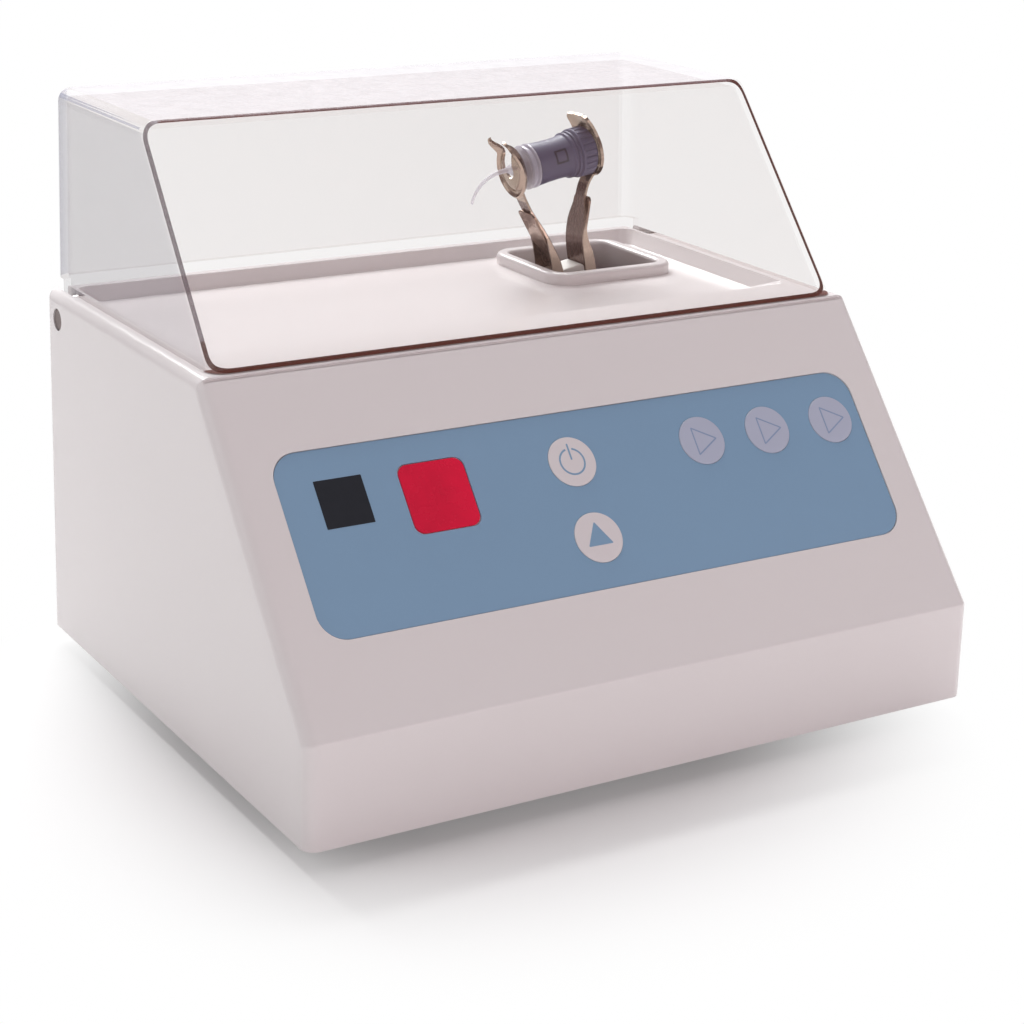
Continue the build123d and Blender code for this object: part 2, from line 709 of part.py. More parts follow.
def driven_screw(length):
    """Pan-head screw with a cross recess: seat of its head at the origin, shank down Z."""
    head = Pos(0, 0, SCREW_HEAD_HEIGHT / 2) * Cylinder(SCREW_HEAD / 2, SCREW_HEAD_HEIGHT)
    head = fillet(head.edges().group_by(Axis.Z)[-1], SCREW_HEAD_RADIUS)
    depth = SCREW_HEAD_HEIGHT * 0.6
    recess = Box(CROSS_LENGTH, CROSS_WIDTH, depth) + Box(CROSS_WIDTH, CROSS_LENGTH, depth)
    head -= Pos(0, 0, SCREW_HEAD_HEIGHT - depth / 2) * recess
    return head + Pos(0, 0, -length / 2) * Cylinder(SCREW_DIAMETER / 2 - SCREW_TAP, length)


def screw(x, y, z_head, length):
    """Screw pointing up, the bottom of its head at z_head."""
    seat = z_head + SCREW_HEAD_HEIGHT
    return Pos(x, y, seat) * Rot(180, 0, 0) * driven_screw(length - SCREW_HEAD_HEIGHT)


def foot_screws():
    z_head = FOOT_HEIGHT / 2 - SCREW_HEAD_HEIGHT
    return [screw(x, y, z_head, Z_BASE_TOP - z_head) for x, y in foot_places()]


def housing_screws():
    return [screw(x, y, Z_EDGE, BASE + HOUSING_SCREW_REACH) for x, y in boss_places()]


# ------------------------------------------------------------------ keypad, window and boards
def keypad_overlay():
    middle = (PANEL_LOW + PANEL_HIGH) / 2
    sheet = on_slope(0, middle, plate_on_slope(
        2 * PANEL_HALF_WIDTH, PANEL_HIGH - PANEL_LOW, PANEL_RADIUS, -PANEL_SINK - OVERLAY, -PANEL_SINK))
    for x, s in KEYS.values():
        sheet -= on_slope(x, s, Cylinder(KEY_DIAMETER / 2 + KEY_GAP, 4 * OVERLAY))
    size = WINDOW_SIZE + 2 * FIT
    sheet -= on_slope(WINDOW_X, WINDOW_S, plate_on_slope(size, size, WINDOW_RADIUS, -WALL, WALL))
    return sheet


def display_window():
    """Red lens: a thin face over a plug that fills the hole in the slope."""
    seat = -PANEL_SINK - OVERLAY
    face = plate_on_slope(WINDOW_SIZE, WINDOW_SIZE, WINDOW_RADIUS, seat, -PANEL_SINK)
    plug_size = WINDOW_SIZE - 2 * WINDOW_LEDGE - 2 * FIT
    plug = plate_on_slope(plug_size, plug_size, WINDOW_RADIUS - WINDOW_LEDGE, -WALL, seat + OVERLAY / 2)
    return on_slope(WINDOW_X, WINDOW_S, face + plug)


def key(x, s):
    """Round key with a stem that reaches through the slope to its switch."""
    top = key_top()
    disc = Pos(0, 0, top - KEY_THICKNESS / 2) * Cylinder(KEY_DIAMETER / 2, KEY_THICKNESS)
    rim = disc.edges().group_by(Axis.Z)[-1]
    disc = chamfer(rim, KEY_PROUD / 2)
    stem_end = switch_top() + KEY_TRAVEL + FIT / 3
    stem_top = top - KEY_THICKNESS / 2
    stem = Pos(0, 0, (stem_end + stem_top) / 2) * Cylinder(KEY_STEM / 2, stem_top - stem_end)
    return on_slope(x, s, disc + stem)


def switch_top():
    """Top of a switch's plunger, measured out of the slope's face."""
    return -BOARD_DEPTH + BOARD + SWITCH_BODY + PLUNGER


def key_switch(x, s):
    body = Pos(0, 0, -BOARD_DEPTH + BOARD + SWITCH_BODY / 2) * Box(SWITCH_SIZE, SWITCH_SIZE, SWITCH_BODY)
    plunger = Pos(0, 0, switch_top() - PLUNGER) * Cylinder(PLUNGER_DIAMETER / 2, 2 * PLUNGER)
    return on_slope(x, s, body + plunger)


def control_board():
    board = plate_on_slope(CONTROL_BOARD_LENGTH, CONTROL_BOARD_WIDTH, 1, -BOARD_DEPTH, -BOARD_DEPTH + BOARD)
    board = on_slope(0, board_middle(), board)
    for x, s in board_screw_places():
        board -= on_slope(x, s, Pos(0, 0, -BOARD_DEPTH) * Cylinder(SCREW_DIAMETER / 2 + SCREW_PASS, 4 * BOARD))
    return board


def display_module():
    """Two-digit display block on the board, just under the window."""
    top = -WALL - FIT
    low = -BOARD_DEPTH + BOARD
    size = WINDOW_SIZE - 2 * WINDOW_LEDGE
    return on_slope(WINDOW_X, WINDOW_S, Pos(0, 0, (top + low) / 2) * Box(size, size, top - low))


def board_screws():
    """Screws of both boards: control board ones point out, power board ones point down."""
    made = []
    for x, s in board_screw_places():
        upturned = Pos(0, 0, -BOARD_DEPTH) * Rot(180, 0, 0)
        made.append(on_slope(x, s, upturned * driven_screw(BOARD_SCREW_LENGTH / 2)))
    top = Z_BASE_TOP + STANDOFF + BOARD
    for x, y in power_screw_places():
        made.append(Pos(x, y, top) * driven_screw(BOARD_SCREW_LENGTH))
    return made


def power_board():
    low = Z_BASE_TOP + STANDOFF
    board = block(
        POWER_BOARD_X - POWER_BOARD_LENGTH / 2, POWER_BOARD_X + POWER_BOARD_LENGTH / 2,
        POWER_BOARD_Y - POWER_BOARD_WIDTH / 2, POWER_BOARD_Y + POWER_BOARD_WIDTH / 2, low, low + BOARD)
    for x, y in power_screw_places():
        board -= upright_bar(SCREW_DIAMETER / 2 + SCREW_PASS, x, y, low - 1, low + BOARD + 1)
    return board


def filter_capacitors():
    low = Z_BASE_TOP + STANDOFF + BOARD
    made = []
    for i in (-1, 1):
        x = POWER_BOARD_X + i * (CAPACITOR_DIAMETER / 2 + 2)
        can = upright_bar(CAPACITOR_DIAMETER / 2, x, POWER_BOARD_Y + 4, low, low + CAPACITOR_HEIGHT)
        made.append(fillet(can.edges().group_by(Axis.Z)[-1], 1))
    return made


# ------------------------------------------------------------------ lid and hinge
def lid_outline():
    back = LID_BACK_Y
    top = Z_DECK + LID_HEIGHT
    low = Z_DECK + LID_GAP
    slope = (LID_TOP_RUN - SLOPE_RUN) / LID_HEIGHT
    return [
        (Y_FRONT + SLOPE_RUN + slope * LID_GAP, low), (back, low), (back, top),
        (Y_FRONT + LID_TOP_RUN, top)]


def lid_shell():
    low = Z_DECK + LID_GAP
    top = Z_DECK + LID_HEIGHT
    half_top = LID_HALF_WIDTH - LID_DRAFT
    outer = wedge(lid_outline(), LID_HALF_WIDTH, half_top, low, top)
    outer = fillet(side_edges(outer, low), LID_RADIUS)
    outer = fillet(creases(outer, low), LID_CREASE_RADIUS)
    hollow_outline = inset_outline(lid_outline(), [-LID_WALL] + [LID_WALL] * 3)
    hollow = wedge(hollow_outline, LID_HALF_WIDTH - LID_WALL, half_top - LID_WALL, low, top)
    hollow = fillet(side_edges(hollow, low), LID_RADIUS - LID_WALL)
    shell = outer - hollow
    shell -= block(-HALF_WIDTH, HALF_WIDTH, HINGE.Y - EAR_RADIUS, Y_BACK, low - 1,
                   Z_DECK + LID_REAR_GAP)
    ear = lid_ear()
    return shell + [ear, mirrored_x(ear)] - magnet_bar()


def lid_ear():
    """Tongue of the side wall that reaches down to the hinge pin."""
    outer = LID_HALF_WIDTH
    inner = LID_HALF_WIDTH - LID_WALL
    eye = bar_x(EAR_RADIUS, inner, outer)
    high = Z_DECK + LID_REAR_GAP + 1 - HINGE.Z
    stalk = block(inner, outer - 0.15, -EAR_RADIUS, EAR_RADIUS, 0, high)
    ear = eye + stalk
    ear -= bar_x(PIN_DIAMETER / 2 + RUNNING_FIT, inner - 1, outer + 1)
    return Pos(0, HINGE.Y, HINGE.Z) * ear


def hinge_pins():
    inner = LID_HALF_WIDTH - LID_WALL - EAR_CLEARANCE - HINGE_CHEEK + 1
    face = side_face_x(HINGE.Z) - PIN_SINK
    pin = bar_x(PIN_DIAMETER / 2 - 0.01, inner, face)
    head = bar_x(PIN_HEAD_DIAMETER / 2, face - PIN_HEAD, face)
    head = fillet(head.edges().group_by(Axis.X)[-1], PIN_HEAD_RADIUS)
    pin = Pos(0, HINGE.Y, HINGE.Z) * (pin + head)
    return [pin, mirrored_x(pin)]


# ------------------------------------------------------------------ interlock
def magnet_bar():
    """Magnet in the inner face of the left ear, above the pin."""
    x = -LID_HALF_WIDTH + LID_WALL
    z = HINGE.Z + PIN_DIAMETER / 2 + 1 + MAGNET_DIAMETER / 2
    return Pos(0, HINGE.Y, z) * bar_x(MAGNET_DIAMETER / 2, x - MAGNET_LENGTH, x)


def lid_sensor():
    """Switch that feels the magnet, fixed to the inner side of the left hinge pocket."""
    x = -(LID_HALF_WIDTH - LID_WALL - EAR_CLEARANCE - HINGE_CHEEK)
    z = HINGE.Z - EAR_RADIUS - EAR_CLEARANCE - WALL
    return block(
        x, x + SENSOR_SIZE / 2, HINGE.Y - SENSOR_SIZE / 2, HINGE.Y + SENSOR_SIZE / 2, z, z + SENSOR_SIZE)


# ------------------------------------------------------------------ bracket and motor
def bracket_extent():
    x_low = PIVOT.X + UPRIGHT_LEFT - MOTOR_LENGTH
    x_high = PIVOT.X + UPRIGHT_RIGHT + BRACKET_PLATE
    return x_low, x_high


def bracket_floor_z():
    return Z_BASE_TOP + ISOLATOR_HEIGHT


def upright(x_low, radius, bore):
    """Upright plate, tapering from the bracket's floor to a round head about the shaft."""
    low = bracket_floor_z() - PIVOT.Z
    head = Circle(radius)
    leg = make_face(Polyline(
        (-BRACKET_HALF_WIDTH, low), (BRACKET_HALF_WIDTH, low), (radius, 0), (-radius, 0), close=True))
    plate = extrude(Plane.YZ * (head + leg), amount=BRACKET_PLATE)
    plate -= bar_x(bore, -1, BRACKET_PLATE + 1)
    return Pos(x_low, PIVOT.Y, PIVOT.Z) * plate


def motor_screw_places():
    reach = MOTOR_DIAMETER / 2 - MOTOR_SCREW_INSET
    return [(reach * math.cos(a), reach * math.sin(a)) for a in (math.pi / 4, math.pi * 5 / 4)]


def motor_bracket():
    """Bent steel frame: a floor and two uprights that carry the motor and the end bearing."""
    x_low, x_high = bracket_extent()
    z = bracket_floor_z()
    floor = block(
        x_low, x_high, PIVOT.Y - BRACKET_HALF_WIDTH, PIVOT.Y + BRACKET_HALF_WIDTH, z, z + BRACKET_PLATE)
    corners = floor.edges().filter_by(Axis.Z)
    frame = fillet(corners, ISOLATOR_DIAMETER / 2)
    left = PIVOT.X + UPRIGHT_LEFT
    right = PIVOT.X + UPRIGHT_RIGHT
    motor_head = MOTOR_DIAMETER / 2
    frame += upright(left, motor_head, BEARING_DIAMETER / 2 + 1)
    frame += upright(right, BEARING_DIAMETER / 2 + 5, BEARING_DIAMETER / 2)
    frame += Pos(right + BRACKET_PLATE, PIVOT.Y, PIVOT.Z) * ring_x(
        BEARING_DIAMETER / 2 + 3, BEARING_DIAMETER / 2, 0, BEARING_WIDTH - BRACKET_PLATE)
    for y, z_bolt in motor_screw_places():
        frame -= Pos(left, PIVOT.Y + y, PIVOT.Z + z_bolt) * bar_x(SCREW_DIAMETER / 2 + SCREW_PASS, -1, 4)
    for x, y in isolator_places():
        frame -= upright_bar(SCREW_DIAMETER / 2 + 0.5, x, y, z - 1, z + BRACKET_PLATE + 1)
    for y in spring_ys():
        frame += spring_anchor(y)
    return frame


def spring_ys():
    return [PIVOT.Y - EAR_REACH, PIVOT.Y + EAR_REACH]


def spring_low_z():
    return bracket_floor_z() + BRACKET_PLATE + 6


def spring_x():
    """Where the leaning hub's ears come to rest."""
    return PIVOT.X + EAR_DROP * math.sin(math.radians(LEAN))


def spring_high_z():
    return PIVOT.Z - EAR_DROP * math.cos(math.radians(LEAN))


def spring_anchor(y):
    """Lug on the bracket's floor with a cross hole for the end of a spring."""
    x = spring_x()
    half, wide = LUG_THICKNESS / 2, LUG_WIDTH / 2
    lug = block(x - half, x + half, y - wide, y + wide, bracket_floor_z(), spring_low_z() + wide)
    return lug - Pos(x, y, spring_low_z()) * bar_x(LUG_HOLE_DIAMETER / 2, -LUG_THICKNESS, LUG_THICKNESS)


def restraint_springs():
    """Two extension springs that keep the fork's hub from turning with the shaft."""
    made = []
    x, side = spring_x(), spring_x() + SPRING_LEG
    wire = SPRING_WIRE / 2
    lap = 0.9 * wire
    for y in spring_ys():
        low, high = spring_low_z() + SPRING_END, spring_high_z() - SPRING_END
        coil = upright_bar(SPRING_DIAMETER / 2, x, y, low, high)
        coil -= upright_bar(SPRING_DIAMETER / 2 - SPRING_WIRE, x, y, low, high)
        for start, end in ((high, spring_high_z()), (low, spring_low_z())):
            coil += upright_bar(wire, side, y, min(start, end) - lap, max(start, end) + lap)
            coil += Pos(0, y, end) * bar_x(wire, x - SPRING_HOOK, side)
        made.append(coil)
    return made


def isolators():
    """Waisted rubber bushes between the base and the bracket."""
    made = []
    radius = ISOLATOR_DIAMETER / 2
    waist = radius - ISOLATOR_WAIST
    high = ISOLATOR_HEIGHT - ISOLATOR_LIP
    for x, y in isolator_places():
        side = Polyline(
            (0, 0), (radius, 0), (radius, ISOLATOR_LIP), (waist, ISOLATOR_HEIGHT / 2),
            (radius, high), (radius, ISOLATOR_HEIGHT), (0, ISOLATOR_HEIGHT), close=True)
        bush = revolve(Plane.XZ * make_face(side), Axis.Z)
        bush = Pos(x, y, Z_BASE_TOP) * bush
        made.append(bush - upright_bar(SCREW_DIAMETER / 2, x, y, Z_EDGE, bracket_floor_z() + 1))
    return made


def isolator_bolts():
    length = BASE + ISOLATOR_HEIGHT + BRACKET_PLATE
    made = []
    for x, y in isolator_places():
        top = Z_EDGE + length
        nut = extrude(Pos(x, y, top) * RegularPolygon(SCREW_HEAD / 2 + FIT, 6), amount=NUT_HEIGHT)
        shank = upright_bar(SCREW_DIAMETER / 2 - SCREW_TAP, x, y, Z_EDGE, top + 1)
        made.append(nut + shank)
    return made


def motor_left():
    """Far end of the motor's can."""
    return UPRIGHT_LEFT - MOTOR_LENGTH


def motor_can():
    """Drawn steel can: its closed face is screwed to the upright."""
    left, right = motor_left() + END_BELL, UPRIGHT_LEFT
    radius = MOTOR_DIAMETER / 2
    outer = bar_x(radius, left, right)
    outer = fillet(outer.edges().group_by(Axis.X)[-1], 2)
    can = outer - bar_x(radius - MOTOR_WALL, left - 1, right - MOTOR_WALL)
    seat = bar_x(BEARING_DIAMETER / 2 + 1.5, right - MOTOR_WALL - BEARING_WIDTH, right - MOTOR_WALL / 2)
    can += seat
    can -= bar_x(BEARING_DIAMETER / 2, right - MOTOR_WALL - BEARING_WIDTH - 1, right - MOTOR_WALL / 2)
    can -= bar_x(SHAFT_DIAMETER / 2 + SHAFT_PASS, right - 2 * MOTOR_WALL, right + 1)
    for y, z in motor_screw_places():
        can -= Pos(0, y, z) * bar_x(SCREW_DIAMETER / 2, right - 2 * MOTOR_WALL, right + 1)
    return SHAFT * can


def motor_end_bell():
    """Moulded end of the motor with vent windows and the brush end's bearing seat."""
    left, right = motor_left(), motor_left() + END_BELL
    bell = bar_x(MOTOR_DIAMETER / 2, left, right)
    bell = chamfer(bell.edges().group_by(Axis.X)[0], 1.5)
    bell -= bar_x(MOTOR_DIAMETER / 2 - MOTOR_WALL, right - END_BELL / 2, right + 1)
    bell += bar_x(BEARING_DIAMETER / 2 + 2, left, right)
    bell -= bar_x(BEARING_DIAMETER / 2, left + 1, right + 1)
    bell -= bar_x(SHAFT_DIAMETER / 2 + SHAFT_PASS, left - 1, left + 2)
    reach = MOTOR_DIAMETER / 2 - 6.5
    window = Pos(0, 0, reach) * bar_x(BELL_WINDOW_DIAMETER / 2, left - 1, right + 1)
    for i in range(BELL_WINDOWS):
        bell -= Rot(360 * (i + 0.5) / BELL_WINDOWS, 0, 0) * window
    return SHAFT * bell


def motor_magnets():
    """Two arcs inside the can."""
    outer = MOTOR_DIAMETER / 2 - MOTOR_WALL
    left = motor_left() + END_BELL + MAGNET
    right = UPRIGHT_LEFT - MOTOR_WALL - BEARING_WIDTH - ROTOR_CLEARANCE + MAGNET_OVERLAP
    ring = ring_x(outer, outer - MAGNET, left, right)
    gap = POLE_GAP / 2
    ring -= block(left - 1, right + 1, -gap, gap, -MOTOR_DIAMETER, MOTOR_DIAMETER)
    return SHAFT * ring


def shaft_bearings():
    """Motor's two bearings and the end bearing beyond the fork."""
    starts = [
        motor_left() + 1,
        UPRIGHT_LEFT - MOTOR_WALL - BEARING_WIDTH,
        UPRIGHT_RIGHT,
    ]
    made = []
    for x in starts:
        race = ring_x(BEARING_DIAMETER / 2 - 0.01, SHAFT_DIAMETER / 2 + RUNNING_FIT / 2, x, x + BEARING_WIDTH)
        for face in (x, x + BEARING_WIDTH - BEARING_GROOVE):
            race -= ring_x(
                BEARING_DIAMETER / 2 - BEARING_RACE, SHAFT_DIAMETER / 2 + BEARING_RACE,
                face, face + BEARING_GROOVE)
        made.append(SHAFT * race)
    return made


def motor_screws():
    made = []
    for y, z in motor_screw_places():
        seat = Pos(UPRIGHT_LEFT + BRACKET_PLATE, y, z) * Rot(0, 90, 0)
        made.append(SHAFT * seat * driven_screw(BRACKET_PLATE + MOTOR_WALL / 2))
    return made


def motor_shaft():
    left = motor_left() - FAN_WIDTH - 2 * SHAFT_TAIL
    right = UPRIGHT_RIGHT + BEARING_WIDTH + SHAFT_TAIL
    shaft = bar_x(SHAFT_DIAMETER / 2, left, right)
    ends = shaft.edges().filter_by(GeomType.CIRCLE)
    return SHAFT * chamfer(ends, 0.6)


def rotor_core():
    """Laminated core with a slot between each pair of teeth."""
    radius = MOTOR_DIAMETER / 2 - MOTOR_WALL - MAGNET - AIR_GAP
    left = motor_left() + END_BELL + COMMUTATOR_LENGTH + BRUSH_GAP
    right = UPRIGHT_LEFT - MOTOR_WALL - BEARING_WIDTH - ROTOR_CLEARANCE
    core = ring_x(radius, SHAFT_DIAMETER / 2, left, right)
    half = ROTOR_SLOT / 2
    gap = block(left - 1, right + 1, -half, half, SHAFT_DIAMETER, radius + 1)
    bed = Pos(0, 0, SHAFT_DIAMETER + ROTOR_SLOT) * bar_x(1.5 * ROTOR_SLOT, left - 1, right + 1)
    for i in range(ROTOR_TEETH):
        core -= Rot(360 * i / ROTOR_TEETH, 0, 0) * (gap + bed)
    return SHAFT * core


def commutator():
    left = motor_left() + END_BELL
    right = left + COMMUTATOR_LENGTH
    return SHAFT * ring_x(SHAFT_DIAMETER, SHAFT_DIAMETER / 2, left, right)


def cooling_fan():
    """Paddle fan on the motor's tail."""
    left = motor_left() - FAN_WIDTH - SHAFT_TAIL
    fan = ring_x(SHAFT_DIAMETER / 2 + 3, SHAFT_DIAMETER / 2, left, left + FAN_WIDTH)
    fan += ring_x(FAN_DIAMETER / 2, SHAFT_DIAMETER / 2, left, left + FAN_PLATE)
    half = BLADE_THICKNESS / 2
    blade = block(left, left + FAN_WIDTH, -half, half, SHAFT_DIAMETER / 2 + 2, FAN_DIAMETER / 2 - half)
    for i in range(FAN_BLADES):
        fan += Rot(360 * i / FAN_BLADES, 0, 0) * blade
    return SHAFT * fan


# ------------------------------------------------------------------ rocking mechanism
def ring_groove(outer):
    """Ring shape near the journal's end, for the retaining ring and its groove."""
    high = JOURNAL_LENGTH / 2 - RING_WIDTH / 4
    return ring_x(outer, JOURNAL_DIAMETER / 2 - RING_BITE, high - RING_WIDTH, high)


def wobble_sleeve():
    """Sleeve with a straight bore and a leaning journal, which turns spin into rocking."""
    half = JOURNAL_LENGTH / 2
    journal = bar_x(JOURNAL_DIAMETER / 2, -half, half)
    flange = bar_x(JOURNAL_DIAMETER / 2 + 2, -half - 1.6, -half)
    sleeve = FORK * (journal + flange - ring_groove(JOURNAL_DIAMETER))
    return sleeve - SHAFT * bar_x(SHAFT_DIAMETER / 2, -2 * half, 2 * half)


def counterweight():
    """Half disc clamped on the shaft between the motor and the fork."""
    left = UPRIGHT_LEFT + COUNTERWEIGHT_LENGTH + 1
    right = left + COUNTERWEIGHT_LENGTH
    reach = COUNTERWEIGHT_DIAMETER / 2
    disc = bar_x(reach, left, right)
    keep = block(left, right, -reach, reach, -reach, 2) + bar_x(SHAFT_DIAMETER / 2 + 3, left, right)
    weight = (disc & keep) - bar_x(SHAFT_DIAMETER / 2, left - 1, right + 1)
    return SHAFT * weight


def retaining_ring():
    """Clip that keeps the hub's bearings on the journal."""
    half = JOURNAL_LENGTH / 2
    ring = ring_groove(JOURNAL_DIAMETER / 2 + 1.4)
    return FORK * (ring - block(half - 2, half, -1.5, 1.5, -JOURNAL_DIAMETER, 0))


def hub_bearings():
    """Pair of bearings between the leaning journal and the fork's hub."""
    made = []
    inner = JOURNAL_DIAMETER / 2 + RUNNING_FIT
    outer = HUB_BEARING_DIAMETER / 2
    pair = (-JOURNAL_LENGTH / 2 + 0.4, JOURNAL_LENGTH / 2 - 1.6 - HUB_BEARING_WIDTH)
    for x in pair:
        race = ring_x(outer, inner, x, x + HUB_BEARING_WIDTH)
        for face in (x, x + HUB_BEARING_WIDTH - BEARING_GROOVE):
            race -= ring_x(outer - BEARING_RACE, inner + BEARING_RACE, face, face + BEARING_GROOVE)
        made.append(FORK * race)
    return made


def fork_hub():
    """White moulding: ring round the bearings, a post for the clip arms and two spring ears."""
    half = HUB_WIDTH / 2
    ring = bar_x(HUB_DIAMETER / 2, -half, half)
    ring = chamfer(ring.edges().filter_by(GeomType.CIRCLE), 1)
    post = block(-POST_THICKNESS / 2, POST_THICKNESS / 2, -POST_WIDTH / 2, POST_WIDTH / 2, 0, POST_TOP)
    post = fillet(post.edges().group_by(Axis.Z)[-1], 0.8)
    foot = block(-half + 2, half - 2, -POST_WIDTH / 2, POST_WIDTH / 2, 0, ARM_ROOT - 1)
    hub = ring + post + foot
    for side in (-1, 1):
        y_low, y_high = sorted((side * (HUB_DIAMETER / 2 - 3), side * (EAR_REACH + LUG_WIDTH / 2)))
        ear = block(
            -LUG_THICKNESS / 2, LUG_THICKNESS / 2, y_low, y_high,
            -EAR_DROP - LUG_WIDTH / 2, -EAR_DROP + LUG_WIDTH / 2)
        eye = bar_x(LUG_HOLE_DIAMETER / 2, -LUG_THICKNESS, LUG_THICKNESS)
        hub += ear - Pos(0, side * EAR_REACH, -EAR_DROP) * eye
    hub -= bar_x(HUB_BEARING_DIAMETER / 2 + 0.01, -half - 1, half + 1)
    for z in arm_screw_heights():
        hub -= Pos(0, 0, z) * bar_x(SCREW_DIAMETER / 2, -half, half)
    return FORK * hub


def arm_screw_heights():
    return [POST_TOP - 5.2, ARM_ROOT + 5]


def ribbon(line, thickness, width):
    """Strip of sheet metal that follows a side-view line, centred on Y."""
    half = thickness / 2
    wire = Plane.XZ * line
    strip = offset(wire, amount=half, side=Side.BOTH, kind=Kind.ARC)
    return extrude(make_face(strip), amount=width / 2, dir=(0, 1, 0), both=True)


def trim_to(strip, outline):
    """Sheet cut to its front view."""
    reach = 2 * CLIP_HEIGHT
    return strip & extrude(Plane.YZ * outline, amount=reach, dir=(1, 0, 0), both=True)


def cup_low():
    """Height of the cup's lower rim."""
    return CLIP_HEIGHT - CLIP_DIAMETER / 2


def neck_height():
    return cup_low() - 2 * ARM_THICKNESS


def cup_line(arm, height):
    """Point on the cup's middle surface, in the side view."""
    rise = height - CLIP_HEIGHT
    return arm.side * (arm.reach - arm.cup + math.sqrt(arm.cup ** 2 - rise ** 2)), height


def clip_stem(arm):
    """Strip from the post up to the neck, tapering, and on into the cup's rim."""
    root = arm.side * (POST_THICKNESS + ARM_THICKNESS) / 2
    neck = (arm.side * arm.neck, neck_height())
    line = [(root, ARM_ROOT), (root, arm.bend), neck, cup_line(arm, cup_low() + 2 * ARM_THICKNESS)]
    wide, shoulder = ARM_WIDTH / 2, cup_low() - ARM_WIDTH
    narrow, high = NECK_WIDTH / 2, CLIP_HEIGHT
    outline = make_face(Polyline(
        (-wide, ARM_ROOT - 1), (wide, ARM_ROOT - 1), (wide, shoulder), (narrow, cup_low() - NECK_WIDTH / 2),
        (narrow, high), (-narrow, high), (-narrow, cup_low() - NECK_WIDTH / 2), (-wide, shoulder), close=True))
    return trim_to(ribbon(Polyline(*line), ARM_THICKNESS, 2 * ARM_WIDTH), outline)


def clip_cup(arm):
    """Cup pressed in the arm's end, hollow towards the capsule."""
    half = ARM_THICKNESS / 2
    shell = Sphere(arm.cup + half) - Sphere(arm.cup - half)
    near, far = sorted((arm.side * (arm.reach - CLIP_DIAMETER / 2), arm.side * (arm.reach + ARM_THICKNESS)))
    shell = Pos(arm.side * (arm.reach - arm.cup), 0, 0) * shell
    return Pos(0, 0, CLIP_HEIGHT) * (shell & bar_x(CLIP_DIAMETER / 2, near, far))


def clip_lip(arm):
    """Flared lead-in above the cup."""
    start = CLIP_HEIGHT + CLIP_DIAMETER / 2 - 2 * ARM_THICKNESS
    base, base_height = cup_line(arm, start)
    mid = base - arm.side * arm.dip, base_height + LIP_RISE / 2
    tip = base + arm.side * arm.lip, base_height + LIP_RISE + ARM_THICKNESS
    line = ThreePointArc((base, base_height), mid, tip)
    outline = Pos(0, base_height + LIP_RISE / 2) * RectangleRounded(LIP_WIDTH, 2 * LIP_RISE, LIP_WIDTH / 6)
    return trim_to(ribbon(line, ARM_THICKNESS, 2 * LIP_WIDTH), outline)


def clip_arm(arm, notch):
    """Spring-metal arm: stem, cup and lip, with a notch that lets a capsule's spout through."""
    sheet = clip_stem(arm) + clip_cup(arm) + clip_lip(arm)
    if notch:
        height = CLIP_DIAMETER + 2 * LIP_RISE
        slot = Pos(0, CLIP_HEIGHT + (height - notch) / 2) * SlotOverall(height, notch, rotation=90)
        sheet -= extrude(Plane.YZ * slot, amount=2 * CLIP_HEIGHT, dir=(1, 0, 0), both=True)
    return FORK * drill_arm(sheet)


def drill_arm(arm):
    for z in arm_screw_heights():
        arm -= Pos(0, 0, z) * bar_x(SCREW_DIAMETER / 2 + SCREW_PASS, -HUB_WIDTH, HUB_WIDTH)
    return arm


def backing_leaf(arm):
    """Shorter leaf that stiffens an arm from outside."""
    shift = (ARM_THICKNESS + LEAF_THICKNESS) / 2 + LEAF_GAP
    root = arm.side * ((POST_THICKNESS + ARM_THICKNESS) / 2 + shift)
    rise = neck_height() - arm.bend
    run = arm.neck - (POST_THICKNESS + ARM_THICKNESS) / 2
    slant = math.hypot(rise, run)
    bend_z = arm.bend - shift * (slant - rise) / run
    end = (LEAF_TOP - bend_z) / rise
    line = Polyline((root, ARM_ROOT), (root, bend_z), (root + arm.side * run * end, LEAF_TOP))
    strip = ribbon(line, LEAF_THICKNESS, ARM_WIDTH)
    length = LEAF_TOP - ARM_ROOT + LEAF_THICKNESS
    face = Pos(0, (ARM_ROOT + LEAF_TOP) / 2) * RectangleRounded(LEAF_WIDTH, length, LEAF_WIDTH / 5)
    return FORK * drill_arm(trim_to(strip, face))


def clip_screws():
    """Screws that clamp both arms and their leaves to the post."""
    made = []
    seat = POST_THICKNESS / 2 + ARM_THICKNESS + LEAF_THICKNESS + LEAF_GAP
    for z in arm_screw_heights():
        for side in (-1, 1):
            place = Pos(side * seat, 0, z) * Rot(0, side * 90, 0)
            made.append(FORK * place * driven_screw(seat - FIT))
    return made


# ------------------------------------------------------------------ capsule
def turned(points):
    """Solid turned about X from a half section given as (x, radius)."""
    face = Plane.XY * make_face(Polyline(*points, close=True))
    return revolve(face, Axis.X)


def capsule_body():
    r = CAPSULE_DIAMETER / 2
    flare = CAP_DIAMETER / 2 - 0.9
    body = turned([
        (CAPSULE_LEFT, 0), (CAPSULE_LEFT, r + 0.1), (-2, r - 0.2), (1.5, r), (4.6, flare - 0.5), (5, flare),
        (5.8, flare), (6.0, flare - 0.5), (CAP_LEFT, flare - 0.4), (CAP_LEFT, 0)])
    return CAPSULE * body


